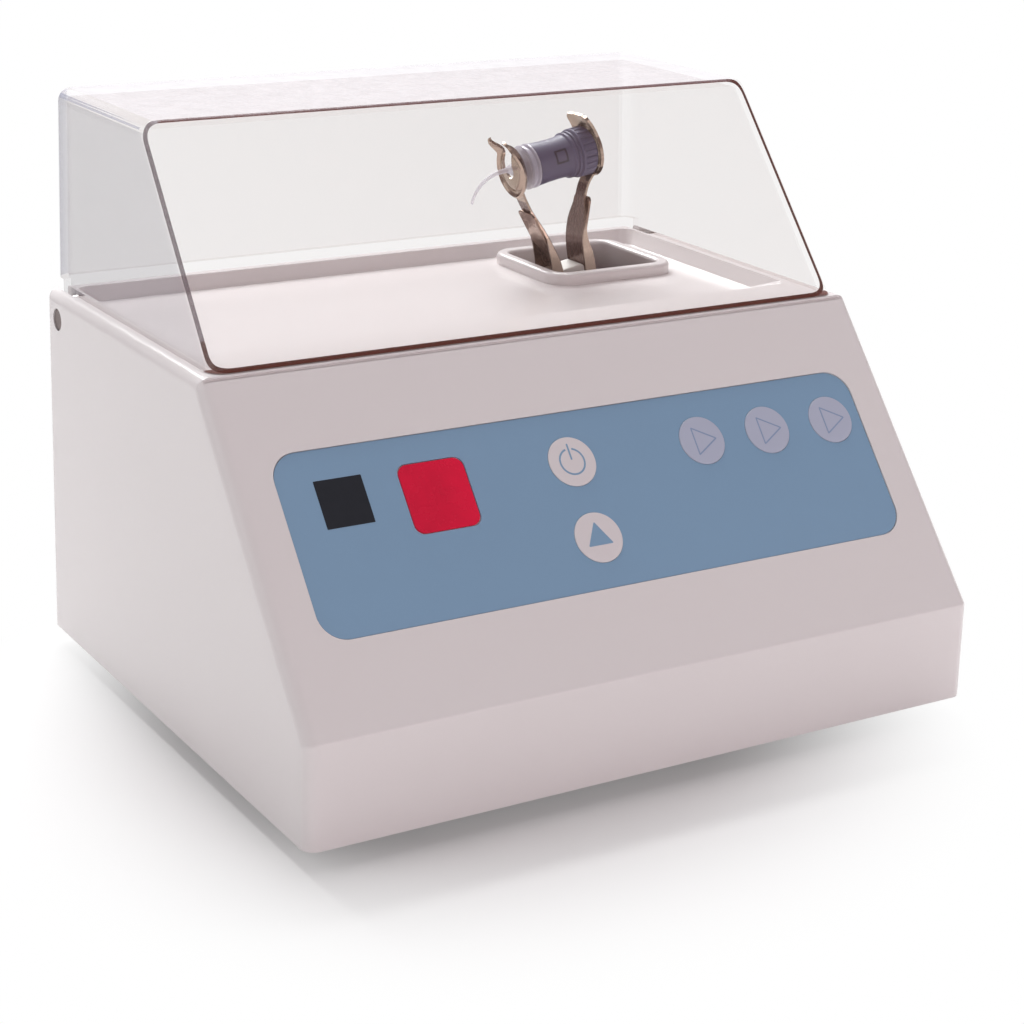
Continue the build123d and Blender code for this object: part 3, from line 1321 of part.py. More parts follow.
def capsule_cap():
    """Knurled end cap."""
    r = CAP_DIAMETER / 2
    cap = turned([
        (CAP_LEFT, 0), (CAP_LEFT, r - 0.6), (CAP_LEFT + 0.6, r), (CAP_RIGHT - 0.8, r), (CAP_RIGHT, r - 0.8),
        (CAP_RIGHT, 0)])
    groove = Pos(0, 0, r + 0.25) * bar_x(0.55, CAP_LEFT + 1.2, CAP_RIGHT + 1)
    for i in range(KNURLS):
        cap -= Rot(360 * i / KNURLS, 0, 0) * groove
    return CAPSULE * cap


def capsule_collar():
    """Clear collar with two ridges that turns to open the capsule."""
    r = COLLAR_RING_DIAMETER / 2
    low = r - 0.7
    left = CAPSULE_LEFT - 3.6
    ring = turned([
        (left, 0), (left, low), (left + 0.4, r), (left + 1.0, r), (left + 1.4, low), (left + 2.2, low),
        (left + 2.6, r), (left + 3.2, r), (CAPSULE_LEFT, low), (CAPSULE_LEFT, 0)])
    return CAPSULE * ring


def capsule_nozzle():
    """Clear shoulder and the thin bent spout that the mix is pressed out of."""
    start = CAPSULE_LEFT - 3.6
    r = CAPSULE_DIAMETER / 2 - 0.2
    shoulder = turned([
        (start, 0), (start, r), (NOZZLE_SHOULDER + 1.2, r - 0.5), (NOZZLE_SHOULDER, r - 2.2),
        (NOZZLE_SHOULDER - 0.8, 1.6), (NOZZLE_SHOULDER - 3, 1.1), (NOZZLE_SHOULDER - 3, 0)])
    tip = NOZZLE_SHOULDER - 3
    straight = Line((tip + 1, 0), (tip, 0))
    bend = TangentArc((tip, 0), (tip - NOZZLE_REACH, -NOZZLE_REACH * 0.58), tangent=(-1, 0))
    path = Plane.XZ * (straight + bend)
    section = Plane(origin=(tip + 1, 0, 0), z_dir=(-1, 0, 0)) * Circle(NOZZLE_DIAMETER / 2)
    return CAPSULE * (shoulder + sweep(section, path=path))


# ------------------------------------------------------------------ mains inlet
def inlet_z():
    return Z_EDGE + INLET_HEIGHT


def drawer_block(clearance, length):
    """Space of the fuse drawer, from the flange's front face inwards."""
    front = flange_seat_y() + FLANGE
    z = inlet_z() - DRAWER_DROP
    half = DRAWER_WIDTH / 2 + clearance
    return block(
        INLET_X - half, INLET_X + half, front - length, front,
        z - DRAWER_HEIGHT / 2 - clearance, z + DRAWER_HEIGHT / 2 + clearance)


def inlet_body():
    z = inlet_z()
    seat = flange_seat_y()
    flange = extrude(
        Pos(INLET_X, seat, z) * (Plane.XZ * RectangleRounded(FLANGE_WIDTH, FLANGE_HEIGHT, 5)),
        amount=FLANGE, dir=(0, 1, 0))
    body = flange + block(
        INLET_X - INLET_WIDTH / 2, INLET_X + INLET_WIDTH / 2, seat - INLET_LENGTH, seat + 1,
        z - INLET_BODY_HEIGHT / 2, z + INLET_BODY_HEIGHT / 2)
    front = seat + FLANGE
    socket = Pos(INLET_X, front, z + SOCKET_RISE) * (
        Plane.XZ * chamfered_rectangle(SOCKET_WIDTH, SOCKET_HEIGHT, 4))
    body -= extrude(socket, amount=SOCKET_DEPTH, dir=(0, -1, 0))
    body -= drawer_block(DRAWER_GAP, DRAWER_LENGTH + DRAWER_GAP)
    for x in inlet_screw_x():
        body -= Pos(x, seat, z) * Rot(90, 0, 0) * Cylinder(SCREW_DIAMETER / 2 + SCREW_PASS, 4 * FLANGE)
    return body


def chamfered_rectangle(length, height, cut):
    """Socket outline: two upper corners cut off."""
    x, z = length / 2, height / 2
    return make_face(Polyline((-x, -z), (x, -z), (x, z - cut), (x - cut, z), (cut - x, z), (-x, z - cut),
                              close=True))


def inlet_pins():
    seat = flange_seat_y()
    bottom = seat + FLANGE - SOCKET_DEPTH
    made = []
    places = ((-PLUG_PIN_SPACING, -PLUG_PIN_STEP), (PLUG_PIN_SPACING, -PLUG_PIN_STEP), (0, PLUG_PIN_STEP))
    for x, z in places:
        middle = (INLET_X + x, bottom + PLUG_PIN_LENGTH / 2, inlet_z() + SOCKET_RISE + z)
        pin = Pos(*middle) * Box(PLUG_PIN_WIDTH, PLUG_PIN_LENGTH, PLUG_PIN_HEIGHT)
        made.append(chamfer(pin.edges().group_by(Axis.Y)[-1], 0.5))
    return made


def inlet_screws():
    made = []
    front = flange_seat_y() + FLANGE
    for x in inlet_screw_x():
        screw_solid = driven_screw(INLET_SCREW_LENGTH)
        made.append(Pos(x, front, inlet_z()) * Rot(-90, 0, 0) * screw_solid)
    return made


def fuse_places():
    front = flange_seat_y() + FLANGE
    y = front - 2 - FUSE_LENGTH / 2
    return [(INLET_X + side * FUSE_DIAMETER, y, inlet_z() - DRAWER_DROP) for side in (-1, 1)]


def fuse_drawer():
    """Drawer with two troughs for fuses and a nail groove in its front."""
    drawer = drawer_block(0, DRAWER_LENGTH)
    front = flange_seat_y() + FLANGE
    z = inlet_z() - DRAWER_DROP
    for x, y, z_fuse in fuse_places():
        half = FUSE_DIAMETER / 2 + FUSE_CLEARANCE
        end = FUSE_LENGTH / 2 + FUSE_CLEARANCE
        bed = Pos(x, y, z_fuse) * Rot(90, 0, 0) * Cylinder(half, 2 * end)
        lift = block(x - half, x + half, y - end, y + end, z_fuse, z_fuse + DRAWER_HEIGHT)
        drawer -= bed + lift
    return drawer - block(INLET_X - 5, INLET_X + 5, front - 0.8, front + 1, z - 3.5, z - 2)


def fuses():
    made = []
    for x, y, z in fuse_places():
        glass = Pos(x, y, z) * Rot(90, 0, 0) * Cylinder(FUSE_DIAMETER / 2 - FUSE_GLASS_STEP, FUSE_LENGTH)
        for end in (-1, 1):
            cap_y = y + end * (FUSE_LENGTH - FUSE_CAP) / 2
            glass += Pos(x, cap_y, z) * Rot(90, 0, 0) * Cylinder(FUSE_DIAMETER / 2, FUSE_CAP)
        made.append(glass)
    return made


# ------------------------------------------------------------------ transformer
def transformer_core():
    """Laminated frame with two windows."""
    z = Z_BASE_TOP + CORE_HEIGHT / 2
    core = Pos(CORE_X, CORE_Y, z) * Box(CORE_LENGTH, CORE_DEPTH, CORE_HEIGHT)
    limb = CORE_LENGTH / 6
    for side in (-1, 1):
        window = Box(limb, CORE_DEPTH + 2, CORE_HEIGHT - 2 * limb)
        core -= Pos(CORE_X + side * limb * 1.5, CORE_Y, z) * window
    return core


def transformer_winding():
    """Wound bobbin on the middle limb."""
    z = Z_BASE_TOP + CORE_HEIGHT / 2
    limb = CORE_LENGTH / 6
    height = CORE_HEIGHT - 2 * limb - 2 * FIT
    coil = rounded_block(
        CORE_X, CORE_Y, z - height / 2, z + height / 2, 4 * limb - 2 * FIT, WINDING_DEPTH, 2)
    return coil - Pos(CORE_X, CORE_Y, z) * Box(2 * limb + 2 * FIT, CORE_DEPTH + 2 * FIT, CORE_HEIGHT)


save("upper_housing", upper_housing())
save("base_plate", base_plate())
save("rubber_feet", *feet())
save("foot_screws", *foot_screws())
save("housing_screws", *housing_screws())
save("keypad_overlay", keypad_overlay())
save("display_window", display_window())
save("key_switches", *[key_switch(x, s) for x, s in KEYS.values()])
for name, (x, s) in KEYS.items():
    save(name, key(x, s))
save("control_board", control_board())
save("display_module", display_module())
save("board_screws", *board_screws())
save("power_board", power_board())
save("filter_capacitors", *filter_capacitors())
save("lid_shell", lid_shell())
save("hinge_pins", *hinge_pins())
save("lid_magnet", magnet_bar())
save("lid_sensor", lid_sensor())
save("motor_bracket", motor_bracket())
save("restraint_springs", *restraint_springs())
save("rubber_isolators", *isolators())
save("isolator_bolts", *isolator_bolts())
save("motor_can", motor_can())
save("motor_end_bell", motor_end_bell())
save("motor_magnets", motor_magnets())
save("shaft_bearings", *shaft_bearings())
save("motor_screws", *motor_screws())
save("motor_shaft", motor_shaft())
save("rotor_core", rotor_core())
save("commutator", commutator())
save("cooling_fan", cooling_fan())
save("wobble_sleeve", wobble_sleeve())
save("counterweight", counterweight())
save("retaining_ring", retaining_ring())
save("hub_bearings", *hub_bearings())
save("fork_hub", fork_hub())
save("clip_arm_left", clip_arm(LEFT_ARM, NOTCH))
save("clip_arm_right", clip_arm(RIGHT_ARM, 0))
save("backing_leaf_left", backing_leaf(LEFT_ARM))
save("backing_leaf_right", backing_leaf(RIGHT_ARM))
save("clip_screws", *clip_screws())
save("capsule_body", capsule_body())
save("capsule_cap", capsule_cap())
save("capsule_collar", capsule_collar())
save("capsule_nozzle", capsule_nozzle())
save("inlet_body", inlet_body())
save("inlet_pins", *inlet_pins())
save("inlet_screws", *inlet_screws())
save("fuse_drawer", fuse_drawer())
save("fuses", *fuses())
save("transformer_core", transformer_core())
save("transformer_winding", transformer_winding())
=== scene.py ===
import math
from collections import namedtuple

import bmesh
import bpy
from mathutils import Matrix, Vector


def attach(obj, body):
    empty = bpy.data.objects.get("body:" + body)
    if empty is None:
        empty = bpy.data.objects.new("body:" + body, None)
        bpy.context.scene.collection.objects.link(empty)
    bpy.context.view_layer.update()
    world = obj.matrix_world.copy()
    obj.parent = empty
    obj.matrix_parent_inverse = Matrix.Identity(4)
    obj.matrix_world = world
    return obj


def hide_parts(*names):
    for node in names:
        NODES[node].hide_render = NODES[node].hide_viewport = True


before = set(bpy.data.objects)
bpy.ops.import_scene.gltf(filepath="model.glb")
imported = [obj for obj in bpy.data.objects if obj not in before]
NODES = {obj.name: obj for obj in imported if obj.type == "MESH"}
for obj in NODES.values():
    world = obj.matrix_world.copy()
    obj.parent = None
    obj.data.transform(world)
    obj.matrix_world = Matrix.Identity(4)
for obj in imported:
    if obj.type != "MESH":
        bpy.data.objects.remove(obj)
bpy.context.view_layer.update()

# ------------------------------------------------------------------ places on the object, in metres
MM = 0.001
DEPTH = 184 * MM
FOOT = 6 * MM
BAND = 30 * MM
DECK = 110 * MM
SLOPE_RUN = 66.5 * MM
SLOPE_ANGLE = math.atan2(DECK - BAND, SLOPE_RUN)
Z_DECK = FOOT + DECK
PIVOT = Vector((65, 58, 76)) * MM
LEAN = math.radians(10)
CLIP_HEIGHT = 73.3 * MM
PANEL_FACE = -0.3 * MM
KEY_FACE = -0.1 * MM

# Each key's middle, across and up the slope, and the body that it rides on
KEYS = {
    "key_power": (-6.3 * MM, 64.3 * MM),
    "key_start": (-6.3 * MM, 41.0 * MM),
    "key_program_1": (38.3 * MM, 64.3 * MM),
    "key_program_2": (61.8 * MM, 64.3 * MM),
    "key_program_3": (85.3 * MM, 64.3 * MM),
}
KEY_BODIES = {
    "key_power": "power_key",
    "key_start": "start_key",
    "key_program_1": "program_key_1",
    "key_program_2": "program_key_2",
    "key_program_3": "program_key_3",
}

# Slope's frame: X across, Y up the slope from its lower edge, Z out of the housing
SLOPE = Matrix.Translation((0, -DEPTH / 2, FOOT + BAND)) @ Matrix.Rotation(SLOPE_ANGLE, 4, "X")
# Fork's frame: X along the capsule, Z up the fork, origin at the pivot
FORK = Matrix.Translation(PIVOT) @ Matrix.Rotation(-LEAN, 4, "Y")


# ------------------------------------------------------------------ camera
CAMERA_PLACE = Vector((-0.3470, -0.5820, 0.2865))
CAMERA_RIGHT = Vector((0.85921893, -0.51118359, 0.02083649))
CAMERA_UP = Vector((0.14911347, 0.28917966, 0.94558992))
LENS = 82.64
SENSOR = 36.0
FARTHEST_SEEN = 20


def make_camera():
    """Camera fitted to the edges of the housing in the photograph."""
    data = bpy.data.cameras.new("camera")
    data.lens = LENS
    data.sensor_width = SENSOR
    data.clip_end = FARTHEST_SEEN
    camera = bpy.data.objects.new("camera", data)
    back = CAMERA_RIGHT.cross(CAMERA_UP)
    turn = Matrix((CAMERA_RIGHT, CAMERA_UP, back)).transposed().to_4x4()
    camera.matrix_world = Matrix.Translation(CAMERA_PLACE) @ turn
    bpy.context.scene.collection.objects.link(camera)
    bpy.context.scene.camera = camera


# ------------------------------------------------------------------ node trees
# Sockets of a colour mix node
MIX_FACTOR, MIX_FIRST, MIX_SECOND, MIX_RESULT = 0, 6, 7, 2


def srgb(red, green, blue):
    """Linear colour from 0-255 display values."""
    def linear(value):
        value /= 255
        return value / 12.92 if value <= 0.04045 else ((value + 0.055) / 1.055) ** 2.4
    return (linear(red), linear(green), linear(blue), 1)


def scaled(colour, factor):
    """Colour with each channel times factor, and 1 at most."""
    return tuple(min(1.0, channel * factor) for channel in colour[:3]) + (1,)


class Tree:
    """Short ways to build the nodes of a material or a world."""

    def __init__(self, owner):
        owner.use_nodes = True
        self.nodes = owner.node_tree.nodes
        self.links = owner.node_tree.links

    def add(self, kind, **values):
        """New node, its settings and inputs given by name."""
        node = self.nodes.new(kind)
        for key, value in values.items():
            if hasattr(node, key):
                setattr(node, key, value)
            else:
                node.inputs[key.replace("_", " ")].default_value = value
        return node

    def link(self, source, target):
        """Lead an output into an input."""
        self.links.new(source, target)

    def combine(self, operation, first, second):
        """Result of an operation on two linked values."""
        node = self.add("ShaderNodeMath", operation=operation)
        self.link(first, node.inputs[0])
        self.link(second, node.inputs[1])
        return node.outputs["Value"]

    def blend(self, share, first, second):
        """First shader, with this share of the second."""
        node = self.add("ShaderNodeMixShader")
        self.link(share, node.inputs[0])
        self.link(first, node.inputs[1])
        self.link(second, node.inputs[2])
        return node.outputs["Shader"]


class Surface(Tree):
    """A material's Principled shader, and ways to vary it over the piece."""

    def __init__(self, material):
        super().__init__(material)
        self.shader = self.nodes["Principled BSDF"]
        self.place = self.add("ShaderNodeTexCoord").outputs["Object"]

    def set(self, **values):
        """Constant values of the shader's own inputs, by name."""
        for key, value in values.items():
            self.shader.inputs[key.replace("_", " ")].default_value = value

    def vary(self, name, source):
        """Lead an output into the shader's input of this name."""
        self.link(source, self.shader.inputs[name])

    def noise(self, scale, detail=2.0, stretch=(1, 1, 1)):
        """Noise over the piece, in its own frame."""
        mapping = self.add("ShaderNodeMapping", Scale=stretch)
        self.link(self.place, mapping.inputs["Vector"])
        noise = self.add("ShaderNodeTexNoise", Scale=scale, Detail=detail)
        self.link(mapping.outputs["Vector"], noise.inputs["Vector"])
        return noise.outputs["Fac"]

    def range(self, source, low, high):
        """Source's 0.3-0.7 spread mapped onto low to high."""
        node = self.add("ShaderNodeMapRange", From_Min=0.3, From_Max=0.7, To_Min=low, To_Max=high)
        self.link(source, node.inputs["Value"])
        return node.outputs["Result"]

    def ramp(self, source, first, second, low=0.35, high=0.65):
        """Colour that runs from first to second over the source's low to high."""
        node = self.add("ShaderNodeValToRGB")
        stops = node.color_ramp.elements
        stops[0].position, stops[0].color = low, first
        stops[1].position, stops[1].color = high, second
        self.link(source, node.inputs["Fac"])
        return node.outputs["Color"]

    def bump(self, source, height, strength=1.0):
        """Relief of this height, in metres, from the source."""
        node = self.add("ShaderNodeBump", Strength=strength, Distance=height)
        self.link(source, node.inputs["Height"])
        self.vary("Normal", node.outputs["Normal"])


# ------------------------------------------------------------------ kinds of material
# Noise scales are in waves per metre. Rough gives the roughness of a face's smoothest and dullest spots.
PLASTIC_IOR = 1.49
RUBBER_IOR = 1.45
GLASS_IOR = 1.5
RUBBER_DUST = srgb(74, 72, 70)
STAIN_HUE = (1, 0.98, 0.95)
BOARD_TRACKS = (1, 0.2, 1)


def plastic(name, colour, shade, rough, grain, height):
    """Moulded plastic: fine spark-eroded grain, faint flow marks and uneven gloss."""
    material = bpy.data.materials.new(name)
    m = Surface(material)
    flow = m.noise(scale=9, detail=1)
    m.vary("Base Color", m.ramp(flow, scaled(colour, shade), colour, low=0.2, high=0.8))
    m.vary("Roughness", m.range(m.noise(scale=grain / 4, detail=1), *rough))
    m.bump(m.noise(scale=grain, detail=2), height)
    m.set(IOR=PLASTIC_IOR)
    return material


def rubber(name, colour):
    """Matt rubber with dust in its texture."""
    material = bpy.data.materials.new(name)
    m = Surface(material)
    m.vary("Base Color", m.ramp(m.noise(scale=180, detail=5), colour, RUBBER_DUST, low=0.45, high=0.95))
    m.vary("Roughness", m.range(m.noise(scale=400, detail=3), 0.65, 0.85))
    m.bump(m.noise(scale=2500, detail=3), 0.04 * MM)
    m.set(IOR=RUBBER_IOR)
    return material


def metal(name, colour, rough, stretch=(1, 1, 1), grain=900, height=0.004 * MM, stain=0.85):
    """Worked metal: grain drawn out along its working direction and a slightly stained face."""
    material = bpy.data.materials.new(name)
    m = Surface(material)
    stained = tuple(channel * stain * share for channel, share in zip(colour, STAIN_HUE)) + (1,)
    m.vary("Base Color", m.ramp(m.noise(scale=90, detail=5), colour, stained, low=0.4, high=0.75))
    m.vary("Roughness", m.range(m.noise(scale=grain, detail=3, stretch=stretch), *rough))
    m.bump(m.noise(scale=grain, detail=3, stretch=stretch), height)
    m.set(Metallic=1.0)
    return material


def clear_glass(name, tint, rough):
    """Clear glass with faint surface waviness and fine dust haze."""
    material = bpy.data.materials.new(name)
    m = Surface(material)
    m.vary("Base Color", m.ramp(m.noise(scale=8, detail=2), tint, scaled(tint, 1.03), low=0.2, high=0.8))
    m.vary("Roughness", m.range(m.noise(scale=220, detail=1), rough, 1.5 * rough))
    m.bump(m.noise(scale=18, detail=1), 0.03 * MM, strength=0.3)
    m.set(Transmission_Weight=1.0, IOR=GLASS_IOR)
    return material


def thin_sheet(name, colour, face_on, edge_on, rough=0.03):
    """Clear sheet seen as a light veil that thickens where the sheet turns away from the eye: painted
    reflection and painted edge shade.
    """
    material = bpy.data.materials.new(name)
    m = Surface(material)
    m.vary("Base Color", m.ramp(m.noise(scale=7, detail=1), colour, scaled(colour, 1.1), low=0.2, high=0.8))
    m.vary("Roughness", m.range(m.noise(scale=200, detail=1), rough, 1.5 * rough))
    m.bump(m.noise(scale=14, detail=1), 0.004 * MM, strength=0.3)
    # The veil grows towards grazing angles as painted reflection and edge shade
    facing = m.add("ShaderNodeLayerWeight", Blend=0.5).outputs["Facing"]
    veil = m.add("ShaderNodeMapRange", From_Min=0.0, From_Max=1.0, To_Min=face_on, To_Max=edge_on)
    m.link(facing, veil.inputs["Value"])
    m.vary("Alpha", veil.outputs["Result"])
    m.set(IOR=PLASTIC_IOR)
    return material


def laminate(name, colour):
    """Solder-masked board with darker tracks."""
    material = bpy.data.materials.new(name)
    m = Surface(material)
    tracks = m.noise(scale=300, detail=0, stretch=BOARD_TRACKS)
    m.vary("Base Color", m.ramp(tracks, scaled(colour, 0.55), colour, low=0.49, high=0.5))
    m.vary("Roughness", m.range(m.noise(scale=500), 0.3, 0.45))
    m.bump(m.noise(scale=300, detail=0, stretch=BOARD_TRACKS), 0.03 * MM)
    return material


def lens_with_painted_glow(name, colour, strength):
    """Tinted lens with a painted glow: it gives off a little light of its own."""
    material = bpy.data.materials.new(name)
    m = Surface(material)
    m.vary("Base Color", m.ramp(m.noise(scale=60, detail=2), scaled(colour, 0.8), colour))
    m.vary("Roughness", m.range(m.noise(scale=300, detail=3), 0.22, 0.3))
    m.bump(m.noise(scale=1800, detail=2), 0.006 * MM)
    # Painted glow: the lens gives off light though no lamp is behind it
    m.set(Emission_Color=colour, Emission_Strength=strength)
    return material


# The deck's opening: its middle, half its size, and the heights between which its painted shade deepens
WELL_PLACE = Vector((65, 58, 0)) * MM
WELL_HALF = Vector((19.5, 17.5, 0)) * MM
WELL_TOP = 116 * MM
WELL_DEEP = 104 * MM
# Colour of the painted shade in the opening, and its largest share
WELL_SHADE = srgb(94, 74, 88)
WELL_SHADE_MOST = 0.74


def painted_shade_in_well(m, unshaded):
    """Painted shade on the walls of the deck's opening, darker further down."""
    step = m.add("ShaderNodeVectorMath", operation="SUBTRACT")
    m.link(m.place, step.inputs[0])
    step.inputs[1].default_value = WELL_PLACE
    size = m.add("ShaderNodeVectorMath", operation="ABSOLUTE")
    m.link(step.outputs["Vector"], size.inputs[0])
    parts = m.add("ShaderNodeSeparateXYZ")
    m.link(size.outputs["Vector"], parts.inputs["Vector"])
    depth = m.add("ShaderNodeMapRange", From_Min=WELL_TOP, From_Max=WELL_DEEP, To_Min=0.0, To_Max=WELL_SHADE_MOST)
    m.link(parts.outputs["Z"], depth.inputs["Value"])
    amount = depth.outputs["Result"]
    for axis, half in (("X", WELL_HALF.x), ("Y", WELL_HALF.y)):
        inside = m.add("ShaderNodeMath", operation="LESS_THAN")
        inside.inputs[1].default_value = half
        m.link(parts.outputs[axis], inside.inputs[0])
        amount = m.combine("MULTIPLY", amount, inside.outputs["Value"])
    shade_mix = m.add("ShaderNodeMix", data_type="RGBA")
    m.link(amount, shade_mix.inputs[MIX_FACTOR])
    m.link(unshaded, shade_mix.inputs[MIX_FIRST])
    shade_mix.inputs[MIX_SECOND].default_value = WELL_SHADE
    return shade_mix.outputs[MIX_RESULT]


def housing_plastic():
    """White moulding of the housing, with painted shade inside its opening."""
    material = plastic("white_moulding", srgb(234, 229, 229), 0.985, (0.17, 0.21), 1600, 0.0006 * MM)
    m = Surface(material)
    unshaded = m.shader.inputs["Base Color"].links[0].from_socket
    m.vary("Base Color", painted_shade_in_well(m, unshaded))
    return material


# ------------------------------------------------------------------ materials
WHITE_MOULDING = housing_plastic()
PRINTED = {"rough": (0.42, 0.5), "grain": 2600}
BLUE_MEMBRANE = plastic("blue_membrane", srgb(135, 168, 198), shade=0.95, height=0.03 * MM, **PRINTED)
WHITE_PRINT = plastic("white_print", srgb(228, 222, 224), shade=0.97, height=0.02 * MM, **PRINTED)
OUTLINE_PRINT = plastic("outline_print", srgb(146, 164, 196), shade=0.96, height=0.02 * MM, **PRINTED)
PALE_PRINT = plastic("pale_print", srgb(186, 192, 212), shade=0.96, height=0.02 * MM, **PRINTED)
DARK_PRINT = plastic("dark_print", srgb(34, 38, 46), 0.9, (0.3, 0.4), 2600, 0.01 * MM)
RED_LENS = lens_with_painted_glow("red_lens", srgb(216, 14, 58), strength=0.14)

# The lid's walls are one clear sheet, drawn as lit, shaded and darkened copies: each side's tint and veil are
# painted light, painted shade and painted reflection
LID_PLASTIC = thin_sheet("lid_plastic", srgb(168, 138, 128), face_on=0.035, edge_on=0.2)
LID_RIGHT = thin_sheet("lid_right", srgb(190, 160, 146), face_on=0.01, edge_on=0.07)
LID_BEND = thin_sheet("lid_bend", srgb(168, 138, 128), face_on=0.06, edge_on=0.09)
LID_TOP_LIT = thin_sheet("lid_top_lit", srgb(230, 222, 234), face_on=0.05, edge_on=0.28, rough=0.22)
LID_SIDE = thin_sheet("lid_side", srgb(128, 116, 128), face_on=0.08, edge_on=0.34)
LID_CORNER_REFLECTION = thin_sheet("lid_corner_reflection", srgb(140, 142, 172), face_on=0.25, edge_on=0.6)
LID_FOLD_LEFT_SHADE = thin_sheet("lid_fold_left_shade", srgb(122, 102, 112), face_on=0.5, edge_on=0.8)
# Dark brown painted shade for the lid's edges and lower rim
LID_EDGE_SHADE = thin_sheet("lid_edge_shade", srgb(104, 56, 46), face_on=0.76, edge_on=0.96)

CAPSULE_CLEAR = thin_sheet("capsule_clear", srgb(222, 220, 232), face_on=0.3, edge_on=0.95, rough=0.15)
NOZZLE_CLEAR = thin_sheet("nozzle_clear", srgb(226, 224, 234), face_on=0.3, edge_on=0.8, rough=0.15)
CAPSULE_SLATE = plastic("capsule_slate", srgb(86, 84, 112), 0.9, (0.44, 0.54), 3000, 0.01 * MM)
CAPSULE_MARK = plastic("capsule_mark", srgb(44, 44, 62), 0.9, (0.3, 0.4), 3000, 0.01 * MM)
WHITE_HUB = plastic("white_hub", srgb(226, 222, 216), 0.95, (0.4, 0.5), 1800, 0.02 * MM)
BLACK_MOULDING = plastic("black_moulding", srgb(36, 36, 38), 0.8, (0.4, 0.5), 1600, 0.04 * MM)
SLEEVE = plastic("sleeve", srgb(34, 40, 86), 0.85, (0.2, 0.3), 700, 0.01 * MM)
TAPE = plastic("tape", srgb(206, 176, 74), 0.9, (0.35, 0.45), 300, 0.08 * MM)
GREY_PAINT = plastic("grey_paint", srgb(186, 184, 182), 0.92, (0.45, 0.6), 700, 0.05 * MM)
GLASS = clear_glass("glass", srgb(240, 246, 244), rough=0.03)
BOARD = laminate("board", srgb(28, 96, 58))
RUBBER = rubber("rubber", srgb(32, 31, 31))

# Working directions of the metals: grain drawn out along one axis
ALONG_X = (0.05, 1, 1)
ALONG_Z = (1, 1, 0.08)
STACKED = (1, 1, 30)
ZINC = metal("zinc", srgb(190, 190, 188), (0.28, 0.42), grain=260, stain=0.8)
BLACK_STEEL = metal("black_steel", srgb(116, 100, 98), (0.3, 0.4), grain=700)
STEEL = metal("steel", srgb(178, 178, 178), (0.2, 0.32), ALONG_X, grain=1500)
POLISHED = metal("polished", srgb(206, 204, 200), (0.08, 0.16), ALONG_Z, grain=1800)
SPRING_METAL = metal("spring_metal", srgb(180, 162, 148), (0.14, 0.26), ALONG_Z, grain=1800)
# Darker copy of the spring metal: painted shade and reflection on the arms' facing sides
SHADED_METAL = metal("shaded_metal", srgb(118, 100, 96), (0.2, 0.32), ALONG_Z, grain=1800)
BRONZE = metal("bronze", srgb(148, 126, 114), (0.18, 0.3), ALONG_Z, grain=1800)
COPPER = metal("copper", srgb(196, 122, 84), (0.2, 0.35), ALONG_X, grain=1500)
DARK_IRON = metal("dark_iron", srgb(84, 82, 84), (0.45, 0.6), STACKED, grain=600, height=0.02 * MM)

MATERIAL_NODES = (
    (WHITE_MOULDING, ("upper_housing",)),
    (BLUE_MEMBRANE, ("keypad_overlay",)),
    (WHITE_PRINT, ("key_power", "key_start")),
    (PALE_PRINT, ("key_program_1", "key_program_2", "key_program_3")),
    (RED_LENS, ("display_window",)),
    (LID_PLASTIC, ("lid_shell",)),
    (GREY_PAINT, ("base_plate",)),
    (RUBBER, ("rubber_feet", "rubber_isolators")),
    (BLACK_MOULDING, ("key_switches", "display_module", "lid_sensor", "motor_end_bell", "cooling_fan",
                      "inlet_body", "fuse_drawer")),
    (BOARD, ("control_board", "power_board")),
    (SLEEVE, ("filter_capacitors",)),
    (TAPE, ("transformer_winding",)),
    (GLASS, ("fuses",)),
    (ZINC, ("foot_screws", "housing_screws", "board_screws", "motor_bracket", "isolator_bolts", "motor_can",
            "motor_screws", "clip_screws", "inlet_screws")),
    (BLACK_STEEL, ("hinge_pins",)),
    (STEEL, ("restraint_springs", "motor_shaft", "wobble_sleeve", "counterweight", "retaining_ring")),
    (POLISHED, ("lid_magnet", "shaft_bearings", "hub_bearings", "inlet_pins")),
    (DARK_IRON, ("motor_magnets", "rotor_core", "transformer_core")),
    (COPPER, ("commutator",)),
    (WHITE_HUB, ("fork_hub",)),
    (SPRING_METAL, ("clip_arm_left", "clip_arm_right")),
    (BRONZE, ("backing_leaf_left", "backing_leaf_right")),
    (CAPSULE_SLATE, ("capsule_body", "capsule_cap")),
    (CAPSULE_CLEAR, ("capsule_collar",)),
    (NOZZLE_CLEAR, ("capsule_nozzle",)),
)


def dress_nodes():
    """Materials of the CAD nodes, which keep their shape."""
    for material, names in MATERIAL_NODES:
        for name in names:
            for slot in NODES[name].material_slots:
                slot.material = material


# ------------------------------------------------------------------ mesh helpers
def new_piece(name, bm, material, body, turn=Matrix.Identity(4)):
    """Object from a bmesh, placed by turn, dressed and riding on a body."""
    mesh = bpy.data.meshes.new(name)
    bm.to_mesh(mesh)
    bm.free()
    mesh.transform(turn)
    mesh.materials.append(material)
    piece = bpy.data.objects.new(name, mesh)
    bpy.context.scene.collection.objects.link(piece)
    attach(piece, body)
    return piece


def shade_smooth(piece, limit):
    """Smooth shading that keeps edges sharper than limit degrees."""
    for polygon in piece.data.polygons:
        polygon.use_smooth = True
    piece.data.set_sharp_from_angle(angle=math.radians(limit))


def arc(radius, start, end, steps):
    """Points along an arc, angles in degrees."""
    turns = [math.radians(start + (end - start) * i / steps) for i in range(steps + 1)]
    return [(radius * math.cos(a), radius * math.sin(a)) for a in turns]


